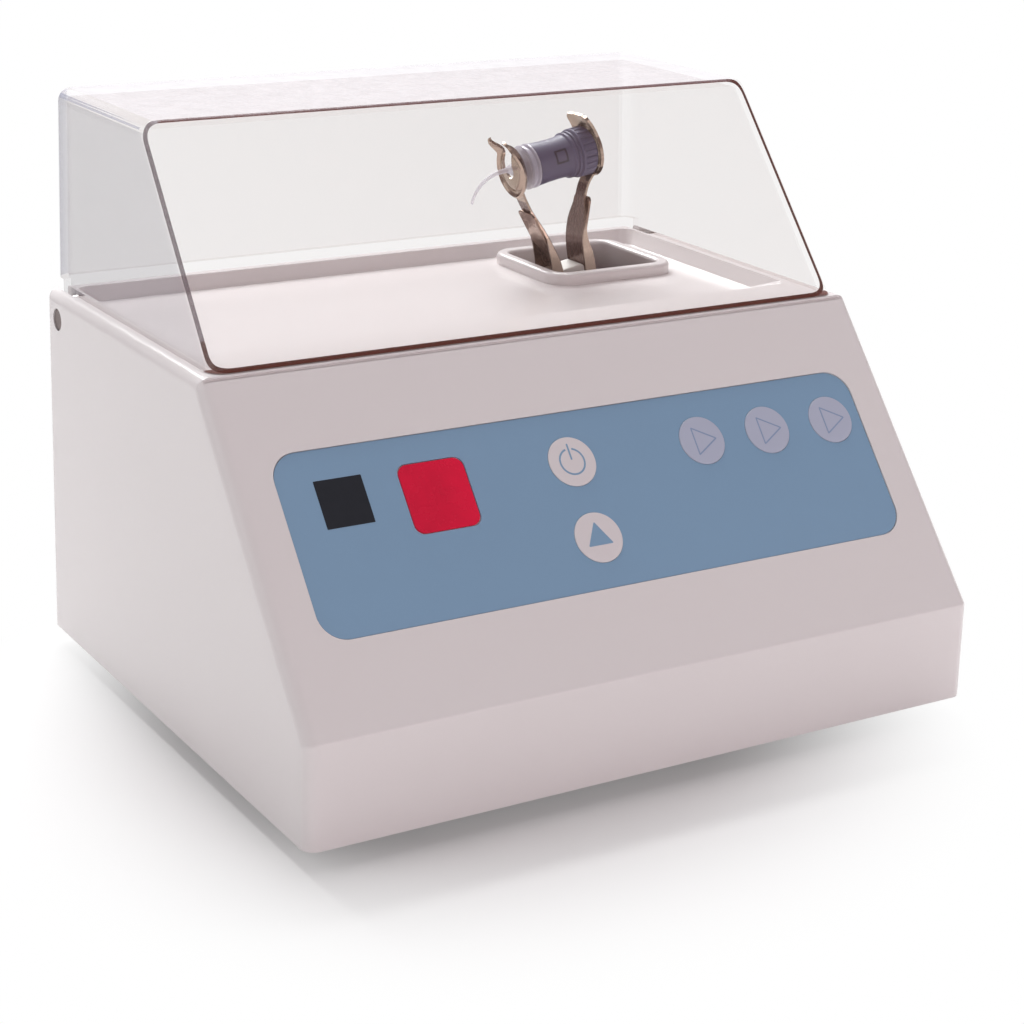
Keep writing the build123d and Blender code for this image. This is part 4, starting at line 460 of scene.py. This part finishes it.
def curve(start, pull, end, t):
    """Point at t, 0 to 1, of the curve from start to end that is drawn towards pull."""
    return (1 - t) ** 2 * start + 2 * t * (1 - t) * pull + t * t * end


def rounded(corners, radius, steps=4):
    """Outline of a polygon, counter-clockwise, with rounded corners."""
    points = []
    count = len(corners)
    for i in range(count):
        here = Vector(corners[i])
        before = (Vector(corners[i - 1]) - here).normalized()
        after = (Vector(corners[(i + 1) % count]) - here).normalized()
        half = before.angle(after) / 2
        start = here + before * radius / math.tan(half)
        end = here + after * radius / math.tan(half)
        points += [tuple(curve(start, here, end, k / steps)) for k in range(steps + 1)]
    return points


def prism(outline, low, high):
    """Closed solid from a flat outline of (x, y) points."""
    bm = bmesh.new()
    bottom = [bm.verts.new((x, y, low)) for x, y in outline]
    top = [bm.verts.new((x, y, high)) for x, y in outline]
    bm.faces.new(reversed(bottom))
    bm.faces.new(top)
    for i in range(len(outline)):
        j = (i + 1) % len(outline)
        bm.faces.new((bottom[i], bottom[j], top[j], top[i]))
    return bm


def flat_ring(outer, inner, low, high):
    """Closed ring between two outlines of the same count."""
    bm = bmesh.new()
    rings = [[bm.verts.new((x, y, z)) for x, y in line] for line in (outer, inner) for z in (low, high)]
    outer_low, outer_high, inner_low, inner_high = rings
    for i in range(len(outer)):
        j = (i + 1) % len(outer)
        bm.faces.new((outer_low[i], outer_low[j], outer_high[j], outer_high[i]))
        bm.faces.new((outer_high[i], outer_high[j], inner_high[j], inner_high[i]))
        bm.faces.new((inner_high[i], inner_high[j], inner_low[j], inner_low[i]))
        bm.faces.new((inner_low[i], inner_low[j], outer_low[j], outer_low[i]))
    return bm


def loft(bm, loops):
    """Closed solid through loops that have the same count of points."""
    rings = [[bm.verts.new(point) for point in loop] for loop in loops]
    count = len(rings[0])
    for low, high in zip(rings, rings[1:]):
        for i in range(count):
            j = (i + 1) % count
            bm.faces.new((low[i], low[j], high[j], high[i]))
    bm.faces.new(reversed(rings[0]))
    bm.faces.new(rings[-1])


def sheet_patch(bm, rows, thick):
    """Sheet over a grid of points, its normals worked out from each point's neighbours."""
    count = len(rows[0])
    faces = []
    for offset in (-thick / 2, thick / 2):
        layer = []
        for i, row in enumerate(rows):
            line = []
            for k, point in enumerate(row):
                across = rows[min(i + 1, len(rows) - 1)][k] - rows[max(i - 1, 0)][k]
                along = row[min(k + 1, count - 1)] - row[max(k - 1, 0)]
                normal = across.cross(along).normalized()
                line.append(bm.verts.new(point + normal * offset))
            layer.append(line)
        faces.append(layer)
    under, over = faces
    for i in range(len(rows) - 1):
        for k in range(count - 1):
            bm.faces.new((under[i][k], under[i][k + 1], under[i + 1][k + 1], under[i + 1][k]))
            bm.faces.new((over[i][k], over[i + 1][k], over[i + 1][k + 1], over[i][k + 1]))
    border = [(0, k) for k in range(count)] + [(i, count - 1) for i in range(1, len(rows))]
    border += [(len(rows) - 1, k) for k in range(count - 2, -1, -1)]
    border += [(i, 0) for i in range(len(rows) - 2, 0, -1)]
    for (i, k), (n, m) in zip(border, border[1:] + border[:1]):
        if (under[i][k].co - under[n][m].co).length > 0:
            bm.faces.new((under[n][m], under[i][k], over[i][k], over[n][m]))


# ------------------------------------------------------------------ keypad print
PRINT = 0.03 * MM
ICON_LINE = 0.55 * MM
POWER_RADIUS = 3.9 * MM
POWER_GAP = 30
POWER_BAR = (0.5 * MM, 5.5 * MM)
POWER_STEPS = 48
BAR_ROUND = 0.98
TRIANGLE_SIDE = 8.2 * MM
TRIANGLE_ROUND = 0.3 * MM
OUTLINE_SIDE = 9.2 * MM
OUTLINE_LINE = 0.8 * ICON_LINE
OUTLINE_ROUND = (0.4 * MM, 0.1 * MM)
TILE_LEFT, TILE_RIGHT = -85.5 * MM, -71.2 * MM
TILE_LOW, TILE_HIGH = 56.5 * MM, 70.5 * MM
TILE_ROUND = 0.2 * MM


def on_key(name, bm, key, material):
    """Print laid on a key's face, riding with the key."""
    x, s = KEYS[key]
    turn = SLOPE @ Matrix.Translation((x, s, KEY_FACE))
    return new_piece(name, bm, material, KEY_BODIES[key], turn)


def triangle(side, turn):
    """Equilateral triangle's corners round the origin, its point towards turn degrees."""
    radius = side / math.sqrt(3)
    angles = [math.radians(turn + 120 * i) for i in range(3)]
    return [(radius * math.cos(a), radius * math.sin(a)) for a in angles]


def power_icon():
    """Ring with a gap at its top, and a bar through the gap."""
    half = ICON_LINE / 2
    start, end = 90 + POWER_GAP / 2, 450 - POWER_GAP / 2
    outer = arc(POWER_RADIUS + half, start, end, POWER_STEPS)
    inner = arc(POWER_RADIUS - half, end, start, POWER_STEPS)
    on_key("power_ring", prism(outer + inner, 0, PRINT), "key_power", BLUE_MEMBRANE)
    low, high = POWER_BAR
    bar = rounded([(-half, low), (half, low), (half, high), (-half, high)], half * BAR_ROUND)
    on_key("power_bar", prism(bar, 0, PRINT), "key_power", BLUE_MEMBRANE)


def key_icons():
    """Power sign, solid triangle on the start key and outlined ones on the programme keys."""
    power_icon()
    solid = rounded(triangle(TRIANGLE_SIDE, 90), TRIANGLE_ROUND)
    on_key("start_triangle", prism(solid, 0, PRINT), "key_start", BLUE_MEMBRANE)
    outer_round, inner_round = OUTLINE_ROUND
    for key in ("key_program_1", "key_program_2", "key_program_3"):
        outer = rounded(triangle(OUTLINE_SIDE, 0), outer_round)
        inner = rounded(triangle(OUTLINE_SIDE - 2 * math.sqrt(3) * OUTLINE_LINE, 0), inner_round)
        on_key(key + "_outline", flat_ring(outer, inner, 0, PRINT), key, OUTLINE_PRINT)


def dark_tile():
    """Plain dark square printed at the keypad's left end."""
    corners = [(TILE_LEFT, TILE_LOW), (TILE_RIGHT, TILE_LOW), (TILE_RIGHT, TILE_HIGH), (TILE_LEFT, TILE_HIGH)]
    tile = prism(rounded(corners, TILE_ROUND), 0, PRINT)
    face = SLOPE @ Matrix.Translation((0, 0, PANEL_FACE))
    new_piece("dark_tile", tile, DARK_PRINT, "housing", face)


# ------------------------------------------------------------------ clip arms, in the fork's frame
SHEET = 0.9 * MM
POST_HALF = 4 * MM
ARM_FOOT = 20 * MM
ARM_HALF = 5.4 * MM
BEND_REACH = 4 * MM
BEND_STEPS = 6
STEPS_BETWEEN = 5
NECK_Z = 62.8 * MM
NECK_HALF = 2.75 * MM
TAPER_START = 50 * MM
TAPER_END = NECK_Z - 3 * MM
FLANGE = 3.2 * MM
FLANGE_THICK = 0.6 * MM
FLANGE_FADE = 14 * MM
FLANGE_END = 52 * MM
EDGE_EASE = 0.25 * MM
ARM_SHARP = 32
SHADED_FACING = 0.75

# An arm's side, height of its bend, neck's way out, and its end behind the cup
Arm = namedtuple("Arm", "side bend neck end")
END_Z = CLIP_HEIGHT - 6.6 * MM
LEFT_ARM = Arm(side=-1, bend=39.5 * MM, neck=13.0 * MM, end=(-14.0 * MM, END_Z))
RIGHT_ARM = Arm(side=1, bend=45.0 * MM, neck=10.2 * MM, end=(14.7 * MM, END_Z))

# A cup's middle along the capsule, how flat its dish is, and the step pressed in it: how deep, and between
# which radii
Cup = namedtuple("Cup", "middle dish step step_from step_to")
CUP_RADIUS = 8.75 * MM
CUP_TURNS = 72
LEFT_CUP = Cup(-15.9 * MM, 60 * MM, step=0.4 * MM, step_from=5.6 * MM, step_to=6.4 * MM)
RIGHT_CUP = Cup(16.4 * MM, -36 * MM, step=-0.6 * MM, step_from=5.4 * MM, step_to=6.2 * MM)
LEFT_ROWS = 14
RIGHT_ROWS = 12
RIGHT_CENTRE = 0.4 * MM

# The left cup's notch, open at the top. A prong's reach past the cup, its share of the cup's round, and
# how far its tip leans out
Prong = namedtuple("Prong", "reach width flare")
FAR_PRONG = Prong(reach=3.4 * MM, width=0.08, flare=6.2 * MM)
NEAR_PRONG = Prong(reach=1.9 * MM, width=0.22, flare=4.6 * MM)
FLARE_FROM = 7.2 * MM
NOTCH_LOW = 2.3 * MM
NOTCH_FAR = 4.6 * MM
NOTCH_NEAR = 1.7 * MM

# The right cup's tab: half its width, its top, and the power that squares its corners
TAB_HALF = 7 * MM
TAB_TOP = 12 * MM
TAB_SQUARE = 8
LEAST_ACROSS = 0.05


def smooth(value, low, high):
    """0 below low, 1 above high, eased between."""
    t = min(1.0, max(0.0, (value - low) / (high - low)))
    return t * t * (3 - 2 * t)


def stem_line(arm):
    """Side view of an arm, foot to cup, with an eased bend."""
    root = arm.side * (POST_HALF + SHEET / 2)
    neck = (arm.side * arm.neck, NECK_Z)
    corners = [Vector(place) for place in ((root, ARM_FOOT), (root, arm.bend), neck, arm.end)]
    points = [corners[0]]
    for before, here, after in zip(corners, corners[1:], corners[2:]):
        start = here + (before - here).normalized() * BEND_REACH
        stop = here + (after - here).normalized() * min(BEND_REACH, (after - here).length / 2)
        points += [curve(start, here, stop, k / BEND_STEPS) for k in range(BEND_STEPS + 1)]
    points.append(corners[-1])
    line = []
    for here, after in zip(points, points[1:]):
        line += [here + (after - here) * k / STEPS_BETWEEN for k in range(STEPS_BETWEEN)]
    return line + [points[-1]]


def stem_section(side, place, along):
    """Channel section at one place: flat web with two flanges turned outwards, gone by the neck."""
    height = place.y
    half = ARM_HALF + (NECK_HALF - ARM_HALF) * smooth(height, TAPER_START, TAPER_END)
    web = SHEET / 2
    depth = web + FLANGE * (1 - smooth(height, FLANGE_END - FLANGE_FADE, FLANGE_END))
    inner = half - FLANGE_THICK
    ease = EDGE_EASE
    profile = [
        (-half, depth), (-inner, depth), (-inner, web), (inner, web), (inner, depth),
        (half, depth), (half, ease - web), (half - ease, -web), (ease - half, -web), (-half, ease - web)]
    out = Vector((side * along.y, -side * along.x)).normalized()
    return [(place.x + out.x * n, side * y, place.y + out.y * n) for y, n in profile]


def stem(bm, arm):
    """Solid of an arm from its foot to its cup."""
    line = stem_line(arm)
    loops = []
    for i, place in enumerate(line):
        along = (line[min(i + 1, len(line) - 1)] - line[max(i - 1, 0)]).normalized()
        loops.append(stem_section(arm.side, place, along))
    loft(bm, loops)


def cup_depth(cup, radius):
    """Place along the capsule of a cup's sheet at this radius."""
    return cup.middle + radius ** 2 / cup.dish + cup.step * smooth(radius, cup.step_from, cup.step_to)


def tab_limit(angle):
    """Rim of the right cup: round below, square-shouldered above."""
    if math.sin(angle) < math.sqrt(1 - (TAB_HALF / CUP_RADIUS) ** 2):
        return CUP_RADIUS
    side = TAB_HALF / max(abs(math.cos(angle)), LEAST_ACROSS)
    top = TAB_TOP / math.sin(angle)
    return (side ** -TAB_SQUARE + top ** -TAB_SQUARE) ** (-1 / TAB_SQUARE)


def left_cup_rows():
    """Dish open at the top between two prongs that lean outwards."""
    rows = []
    for i in range(LEFT_ROWS + 1):
        row = []
        for k in range(CUP_TURNS + 1):
            t = k / CUP_TURNS
            prong = NEAR_PRONG if t > 0.5 else FAR_PRONG
            limit = CUP_RADIUS + prong.reach * (1 - smooth(min(t, 1 - t), 0.0, prong.width))
            radius = NOTCH_LOW + (limit - NOTCH_LOW) * i / LEFT_ROWS
            far = math.asin(min(1.0, NOTCH_FAR / radius))
            near = math.asin(min(1.0, NOTCH_NEAR / radius))
            angle = math.pi / 2 + far + t * (2 * math.pi - far - near)
            flare = prong.flare * smooth(radius, FLARE_FROM, CUP_RADIUS + prong.reach)
            depth = cup_depth(LEFT_CUP, radius) - flare
            row.append(Vector((depth, -radius * math.cos(angle), CLIP_HEIGHT + radius * math.sin(angle))))
        rows.append(row)
    return rows


def right_cup_rows():
    """Dish that runs on into a flat-topped tab."""
    rows = []
    for i in range(RIGHT_ROWS + 1):
        row = []
        for k in range(CUP_TURNS + 1):
            angle = 2 * math.pi * k / CUP_TURNS
            radius = RIGHT_CENTRE + (tab_limit(angle) - RIGHT_CENTRE) * i / RIGHT_ROWS
            depth = cup_depth(RIGHT_CUP, radius)
            row.append(Vector((depth, radius * math.cos(angle), CLIP_HEIGHT + radius * math.sin(angle))))
        rows.append(row)
    return rows


def clip_arms():
    """Both spring-metal arms, in place of the CAD ones, with painted shade where they face each other."""
    for node, arm, rows in (("clip_arm_left", LEFT_ARM, left_cup_rows()),
                            ("clip_arm_right", RIGHT_ARM, right_cup_rows())):
        bm = bmesh.new()
        stem(bm, arm)
        sheet_patch(bm, rows, SHEET)
        bmesh.ops.recalc_face_normals(bm, faces=bm.faces)
        for face in bm.faces:
            # Faces turned across to the other arm, below the neck, take the darker copy: painted shade and
            # reflection
            across = abs(face.normal.x) > SHADED_FACING
            face.material_index = 1 if across and face.calc_center_median().z < NECK_Z else 0
        piece = new_piece(node + "_sprung", bm, SPRING_METAL, "fork", FORK)
        piece.data.materials.append(SHADED_METAL)
        shade_smooth(piece, ARM_SHARP)
        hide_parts(node)


# ------------------------------------------------------------------ post and capsule, in the fork's frame
POST_CUT = 38 * MM
POST_DROP = 3.4 * MM
POST_WAIST = 0.72
HUB_SHARP = 30

# Body, in millimetres: (along the capsule, radius)
BODY_PROFILE = [
    (-8.0, 6.0), (-8.0, 6.8), (-7.6, 6.95), (-4.0, 6.72), (0.0, 6.62), (3.0, 6.72), (4.1, 6.95), (4.6, 7.45),
    (5.3, 7.45), (5.6, 7.1), (5.9, 7.1), (6.2, 7.55), (6.8, 7.55), (7.0, 7.3), (7.0, 4.0)]
BODY_TURNS = 72
BODY_SHARP = 28

# Spout: its start, the point it is drawn towards and its tip, and its radius in millimetres along it
NOZZLE_PATH = [Vector((-12.5, 73.3)) * MM, Vector((-26.5, 76.5)) * MM, Vector((-31.5, 66.5)) * MM]
NOZZLE_PROFILE = [(0.0, 3.4), (0.12, 1.6), (0.2, 0.75), (0.6, 0.6), (1.0, 0.42)]
NOZZLE_STEPS = 24
NOZZLE_TURNS = 16
NOZZLE_SHARP = 60

MARK_SIDE = 4.6 * MM
MARK_LINE = 0.75 * MM
MARK_TURN = math.radians(18)
MARK_RADIUS = 6.74 * MM
MARK_DEPTH = 0.14 * MM
MARK_STEPS = 8


def hub_post():
    """Hub with its post's top a little lower and narrower, between the arms."""
    bm = bmesh.new()
    bm.from_mesh(NODES["fork_hub"].data)
    back = FORK.inverted()
    for vert in bm.verts:
        place = back @ vert.co
        if place.z > POST_CUT:
            place.z -= POST_DROP
            place.y *= POST_WAIST
            vert.co = FORK @ place
    hub = new_piece("fork_hub_moulding", bm, WHITE_HUB, "fork")
    shade_smooth(hub, HUB_SHARP)
    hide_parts("fork_hub")


def capsule_body():
    """Turned body with a slight waist and two ridges beside the cap."""
    bm = bmesh.new()
    turns = [2 * math.pi * k / BODY_TURNS for k in range(BODY_TURNS)]
    rings = []
    for x, radius in BODY_PROFILE:
        rings.append([
            (x * MM, radius * MM * math.cos(turn), CLIP_HEIGHT + radius * MM * math.sin(turn))
            for turn in turns])
    loft(bm, rings)
    bmesh.ops.recalc_face_normals(bm, faces=bm.faces)
    body = new_piece("capsule_waisted_body", bm, CAPSULE_SLATE, "fork", FORK)
    shade_smooth(body, BODY_SHARP)
    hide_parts("capsule_body")


def nozzle_radius(t):
    """Spout's radius at t, 0 at the capsule and 1 at the tip."""
    for (low, first), (high, second) in zip(NOZZLE_PROFILE, NOZZLE_PROFILE[1:]):
        if t <= high:
            return (first + (second - first) * (t - low) / (high - low)) * MM


def capsule_nozzle():
    """Thin drawn-out spout that droops from the capsule's clear end."""
    bm = bmesh.new()
    start, pull, tip = NOZZLE_PATH
    rings = []
    for k in range(NOZZLE_STEPS + 1):
        t = k / NOZZLE_STEPS
        place = curve(start, pull, tip, t)
        along = ((1 - t) * (pull - start) + t * (tip - pull)).normalized()
        ring = []
        for i in range(NOZZLE_TURNS):
            turn = 2 * math.pi * i / NOZZLE_TURNS
            up, side = nozzle_radius(t) * math.cos(turn), nozzle_radius(t) * math.sin(turn)
            ring.append((place.x - along.y * up, side, place.y + along.x * up))
        rings.append(ring)
    loft(bm, rings)
    bmesh.ops.recalc_face_normals(bm, faces=bm.faces)
    nozzle = new_piece("capsule_spout", bm, NOZZLE_CLEAR, "fork", FORK)
    shade_smooth(nozzle, NOZZLE_SHARP)
    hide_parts("capsule_nozzle")


def square(half):
    """Outline of a square of this half side, each side in MARK_STEPS steps."""
    steps = [2 * k / MARK_STEPS - 1 for k in range(MARK_STEPS)]
    corners = [(half, half * t) for t in steps] + [(-half * t, half) for t in steps]
    return corners + [(-half, -half * t) for t in steps] + [(half * t, -half) for t in steps]


def capsule_mark():
    """Plain square printed on the capsule, wrapped round its body."""
    bm = flat_ring(square(MARK_SIDE / 2), square(MARK_SIDE / 2 - MARK_LINE), -MARK_DEPTH, 0)
    for vert in bm.verts:
        x, arc_length, lift = vert.co
        angle = MARK_TURN + arc_length / MARK_RADIUS
        radius = MARK_RADIUS + lift
        vert.co = (x, -radius * math.cos(angle), CLIP_HEIGHT + radius * math.sin(angle))
    bmesh.ops.recalc_face_normals(bm, faces=bm.faces)
    new_piece("capsule_square", bm, CAPSULE_MARK, "fork", FORK)


# ------------------------------------------------------------------ lid
# Its front face: tilt, height up the slope, middle of its foot, and half its width at foot and top
LID_TILT = math.atan2(60 * MM, 49.7 * MM)
LID_FRONT = Vector((0, -math.sin(LID_TILT), math.cos(LID_TILT)))
LID_UP = Vector((0, math.cos(LID_TILT), math.sin(LID_TILT)))
LID_RISE = 59.7 * MM / math.sin(LID_TILT)
LID_FOOT = Vector((0, -25.25, 116.3)) * MM
LID_FLAT_LOW = 99.8 * MM
LID_FLAT_HIGH = 98.0 * MM

# Radius of its side folds, radius and reach of its top crease, and the flat length below the crease
LID_FOLD = 5 * MM
LID_CREASE = 2 * MM
CREASE_REACH = 0.93 * MM
CREASE_FLAT = LID_RISE - CREASE_REACH

# Painted dark line of shade along the lid's fold: how far it lies past the flat face on each side, its width,
# corners and half its thickness
FOLD_REACH_LEFT = 4.4 * MM
FOLD_REACH_RIGHT = 1.9 * MM
FOLD_OVER = 0.8 * MM
FOLD_LINE = 1.35 * MM
FOLD_CORNER = 6 * MM
FOLD_CORNER_STEPS = 10
FOLD_STEP = 4 * MM
FOLD_LIFT = 0.08 * MM
FOLD_HIGHEST = 176 * MM

# Which way a wall's normal points, and where the side walls and the painted dark rim begin
RIM_HEIGHT = 1 * MM
RIM_BACK = -20 * MM
SIDE_PART = 95 * MM
FLAT_ON = 0.9
TOP_NORMAL = 0.68
BEND_NORMAL = 0.15
BACK_NORMAL = 0.2
CORNER_TOP = 0.4
LID_MATERIALS = [LID_PLASTIC, LID_EDGE_SHADE, LID_TOP_LIT, LID_SIDE, LID_CORNER_REFLECTION, LID_RIGHT, LID_BEND]


def wrapped(past, radius):
    """Way along and drop of a point that lies this far past a flat face, round its fold."""
    if past <= 0:
        return past, 0.0
    angle = past / radius
    return radius * math.sin(angle), radius * (1 - math.cos(angle))


def on_fold(x, s, lift):
    """Point of the lid's front face, bent round its folds: x across, s up the face."""
    flat = LID_FLAT_LOW + (LID_FLAT_HIGH - LID_FLAT_LOW) * s / LID_RISE
    across, side_drop = wrapped(abs(x) - flat, LID_FOLD)
    up, top_drop = wrapped(s - CREASE_FLAT, LID_CREASE)
    place = LID_FOOT + LID_UP * (CREASE_FLAT + up) + LID_FRONT * (lift - side_drop - top_drop)
    return Vector((math.copysign(flat + across, x), place.y, min(place.z, FOLD_HIGHEST)))


def even(points, step):
    """Closed outline cut into pieces no longer than step, or nearly so."""
    cut = []
    for here, after in zip(points, points[1:] + points[:1]):
        here, after = Vector(here), Vector(after)
        count = max(1, round((after - here).length / step))
        cut += [here.lerp(after, k / count) for k in range(count)]
    return cut


def fold_line():
    """Painted shade: a dark line where the lid's front face folds into its other walls, round at the corners.
    """
    foot, top = FOLD_LINE / 2, CREASE_FLAT + FOLD_OVER
    corners = [
        (-LID_FLAT_LOW - FOLD_REACH_LEFT, foot), (LID_FLAT_LOW + FOLD_REACH_RIGHT, foot),
        (LID_FLAT_HIGH + FOLD_REACH_RIGHT, top), (-LID_FLAT_HIGH - FOLD_REACH_LEFT, top)]
    centre = even(rounded(corners, FOLD_CORNER, FOLD_CORNER_STEPS), FOLD_STEP)
    outer, inner = [], []
    for before, here, after in zip(centre[-1:] + centre[:-1], centre, centre[1:] + centre[:1]):
        along = (after - before).normalized()
        out = Vector((along.y, -along.x)) * FOLD_LINE / 2
        outer.append(tuple(here + out))
        inner.append(tuple(here - out))
    bm = flat_ring(outer, inner, -FOLD_LIFT, FOLD_LIFT)
    for vert in bm.verts:
        vert.co = on_fold(*vert.co)
    bmesh.ops.recalc_face_normals(bm, faces=bm.faces)
    # The line's left part takes a paler, mauve painted shade
    for face in bm.faces:
        place = face.calc_center_median()
        on_left = place.x < -LID_FLAT_HIGH and place.z > Z_DECK + FOLD_CORNER
        face.material_index = 1 if on_left else 0
    line = new_piece("lid_fold_shade_line", bm, LID_EDGE_SHADE, "lid")
    line.data.materials.append(LID_FOLD_LEFT_SHADE)


def lid_material(normal, place):
    """Material of one of the lid's faces, by where it is and the way it faces: the copy with its painted
    light or shade.
    """
    left, right = place.x < -SIDE_PART, place.x > SIDE_PART
    # Underside of the lower front rim: painted dark edge
    if normal.z < -FLAT_ON and place.z < Z_DECK + RIM_HEIGHT and place.y < RIM_BACK:
        return LID_EDGE_SHADE
    if right and abs(normal.x) > BEND_NORMAL:
        return LID_RIGHT
    if left and BEND_NORMAL < abs(normal.x) < FLAT_ON and normal.y * normal.x > 0:
        return LID_BEND
    if normal.z > TOP_NORMAL:
        return LID_TOP_LIT
    if left and abs(normal.x) > FLAT_ON:
        return LID_SIDE
    if left and normal.x < -BACK_NORMAL and (normal.y > BACK_NORMAL or normal.z > CORNER_TOP):
        return LID_CORNER_REFLECTION
    return LID_PLASTIC


def clear_lid():
    """Lid whose walls, bends and lower rim get their own painted light, shade and reflection."""
    bm = bmesh.new()
    bm.from_mesh(NODES["lid_shell"].data)
    for face in bm.faces:
        face.material_index = LID_MATERIALS.index(lid_material(face.normal, face.calc_center_median()))
    lid = new_piece("lid_clear", bm, LID_MATERIALS[0], "lid")
    for material in LID_MATERIALS[1:]:
        lid.data.materials.append(material)
    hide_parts("lid_shell")


# ------------------------------------------------------------------ studio, in metres and watts
# Floor: the share of plain white in it near the object, and the distances between which it grows to all
SHADOW_CENTRE = Vector((-30, -30, 0)) * MM
FLOOR_HALF = 6
FLOOR_COLOUR = (0.8, 0.785, 0.785, 1)
WHITE_NEAR = 0.18
WHITE_FROM = 0.07
WHITE_TO = 0.16

WORLD_COLOUR = (1.0, 0.87, 0.9, 1)
WORLD_LIGHT = 0.255

# A lamp's place, the point it faces, its width and height, power and colour
Lamp = namedtuple("Lamp", "place target size power colour")
LAMPS = {
    "left_softbox": Lamp((-1.6, 0.3, 1.0), (0, 0, 0.08), (1.2, 1.2), 4.4, (0.94, 1, 1)),
    "back_softbox": Lamp((0.35, 1.55, 1.65), (0, 0, 0.1), (1.4, 1.1), 76, (0.98, 1, 1)),
    "top_softbox": Lamp((0.1, 0.3, 1.8), (0, 0, 0.1), (1.2, 1.2), 9, (0.98, 1, 1)),
    "front_softbox": Lamp((0.3, -1.7, 0.3), (0, 0, 0.04), (1.4, 0.6), 7.0, (1, 0.88, 0.9)),
}


def floor_material():
    """White floor: its shading mixed with plain white for what the camera, metal and glass see."""
    material = bpy.data.materials.new("floor_white")
    tree = Tree(material)
    tree.nodes.clear()
    path = tree.add("ShaderNodeLightPath").outputs
    seen = tree.combine("MAXIMUM", path["Is Camera Ray"], path["Is Glossy Ray"])
    seen = tree.combine("MAXIMUM", seen, path["Is Transmission Ray"])
    place = tree.add("ShaderNodeTexCoord").outputs["Object"]
    distance = tree.add("ShaderNodeVectorMath", operation="LENGTH")
    tree.link(place, distance.inputs[0])
    away = tree.add("ShaderNodeMapRange", interpolation_type="SMOOTHSTEP",
                    From_Min=WHITE_FROM, From_Max=WHITE_TO, To_Min=WHITE_NEAR, To_Max=1.0)
    tree.link(distance.outputs["Value"], away.inputs["Value"])
    share = tree.combine("MULTIPLY", seen, away.outputs["Result"])
    shaded = tree.add("ShaderNodeBsdfDiffuse", Color=FLOOR_COLOUR).outputs[0]
    white = tree.add("ShaderNodeEmission", Strength=1.0).outputs[0]
    output = tree.add("ShaderNodeOutputMaterial")
    tree.link(tree.blend(share, shaded, white), output.inputs["Surface"])
    return material


def make_floor():
    """Wide floor under the feet, its middle where the shadow is."""
    bm = bmesh.new()
    bmesh.ops.create_grid(bm, x_segments=1, y_segments=1, size=FLOOR_HALF)
    mesh = bpy.data.meshes.new("floor")
    bm.to_mesh(mesh)
    bm.free()
    mesh.materials.append(floor_material())
    floor = bpy.data.objects.new("floor", mesh)
    floor.location = SHADOW_CENTRE
    bpy.context.scene.collection.objects.link(floor)


def make_world():
    """Even light from all round, and plain white where the camera or clear pieces look past the floor."""
    world = bpy.data.worlds.new("studio")
    bpy.context.scene.world = world
    tree = Tree(world)
    tree.nodes.clear()
    path = tree.add("ShaderNodeLightPath").outputs
    seen = tree.combine("MAXIMUM", path["Is Camera Ray"], path["Is Transmission Ray"])
    light = tree.add("ShaderNodeBackground", Color=WORLD_COLOUR, Strength=WORLD_LIGHT).outputs[0]
    white = tree.add("ShaderNodeBackground", Strength=1.0).outputs[0]
    output = tree.add("ShaderNodeOutputWorld")
    tree.link(tree.blend(seen, light, white), output.inputs["Surface"])


def make_lamps():
    """Softboxes round the object."""
    for name, lamp in LAMPS.items():
        data = bpy.data.lights.new(name, "AREA")
        data.shape = "RECTANGLE"
        data.size, data.size_y = lamp.size
        data.energy = lamp.power
        data.color = lamp.colour
        holder = bpy.data.objects.new(name, data)
        holder.location = lamp.place
        way = Vector(lamp.target) - Vector(lamp.place)
        holder.rotation_euler = way.to_track_quat("-Z", "Y").to_euler()
        bpy.context.scene.collection.objects.link(holder)


make_camera()
dress_nodes()
key_icons()
dark_tile()
clear_lid()
fold_line()
clip_arms()
hub_post()
capsule_body()
capsule_nozzle()
capsule_mark()
make_floor()
make_world()
make_lamps()
bpy.context.scene.view_settings.view_transform = "Standard"
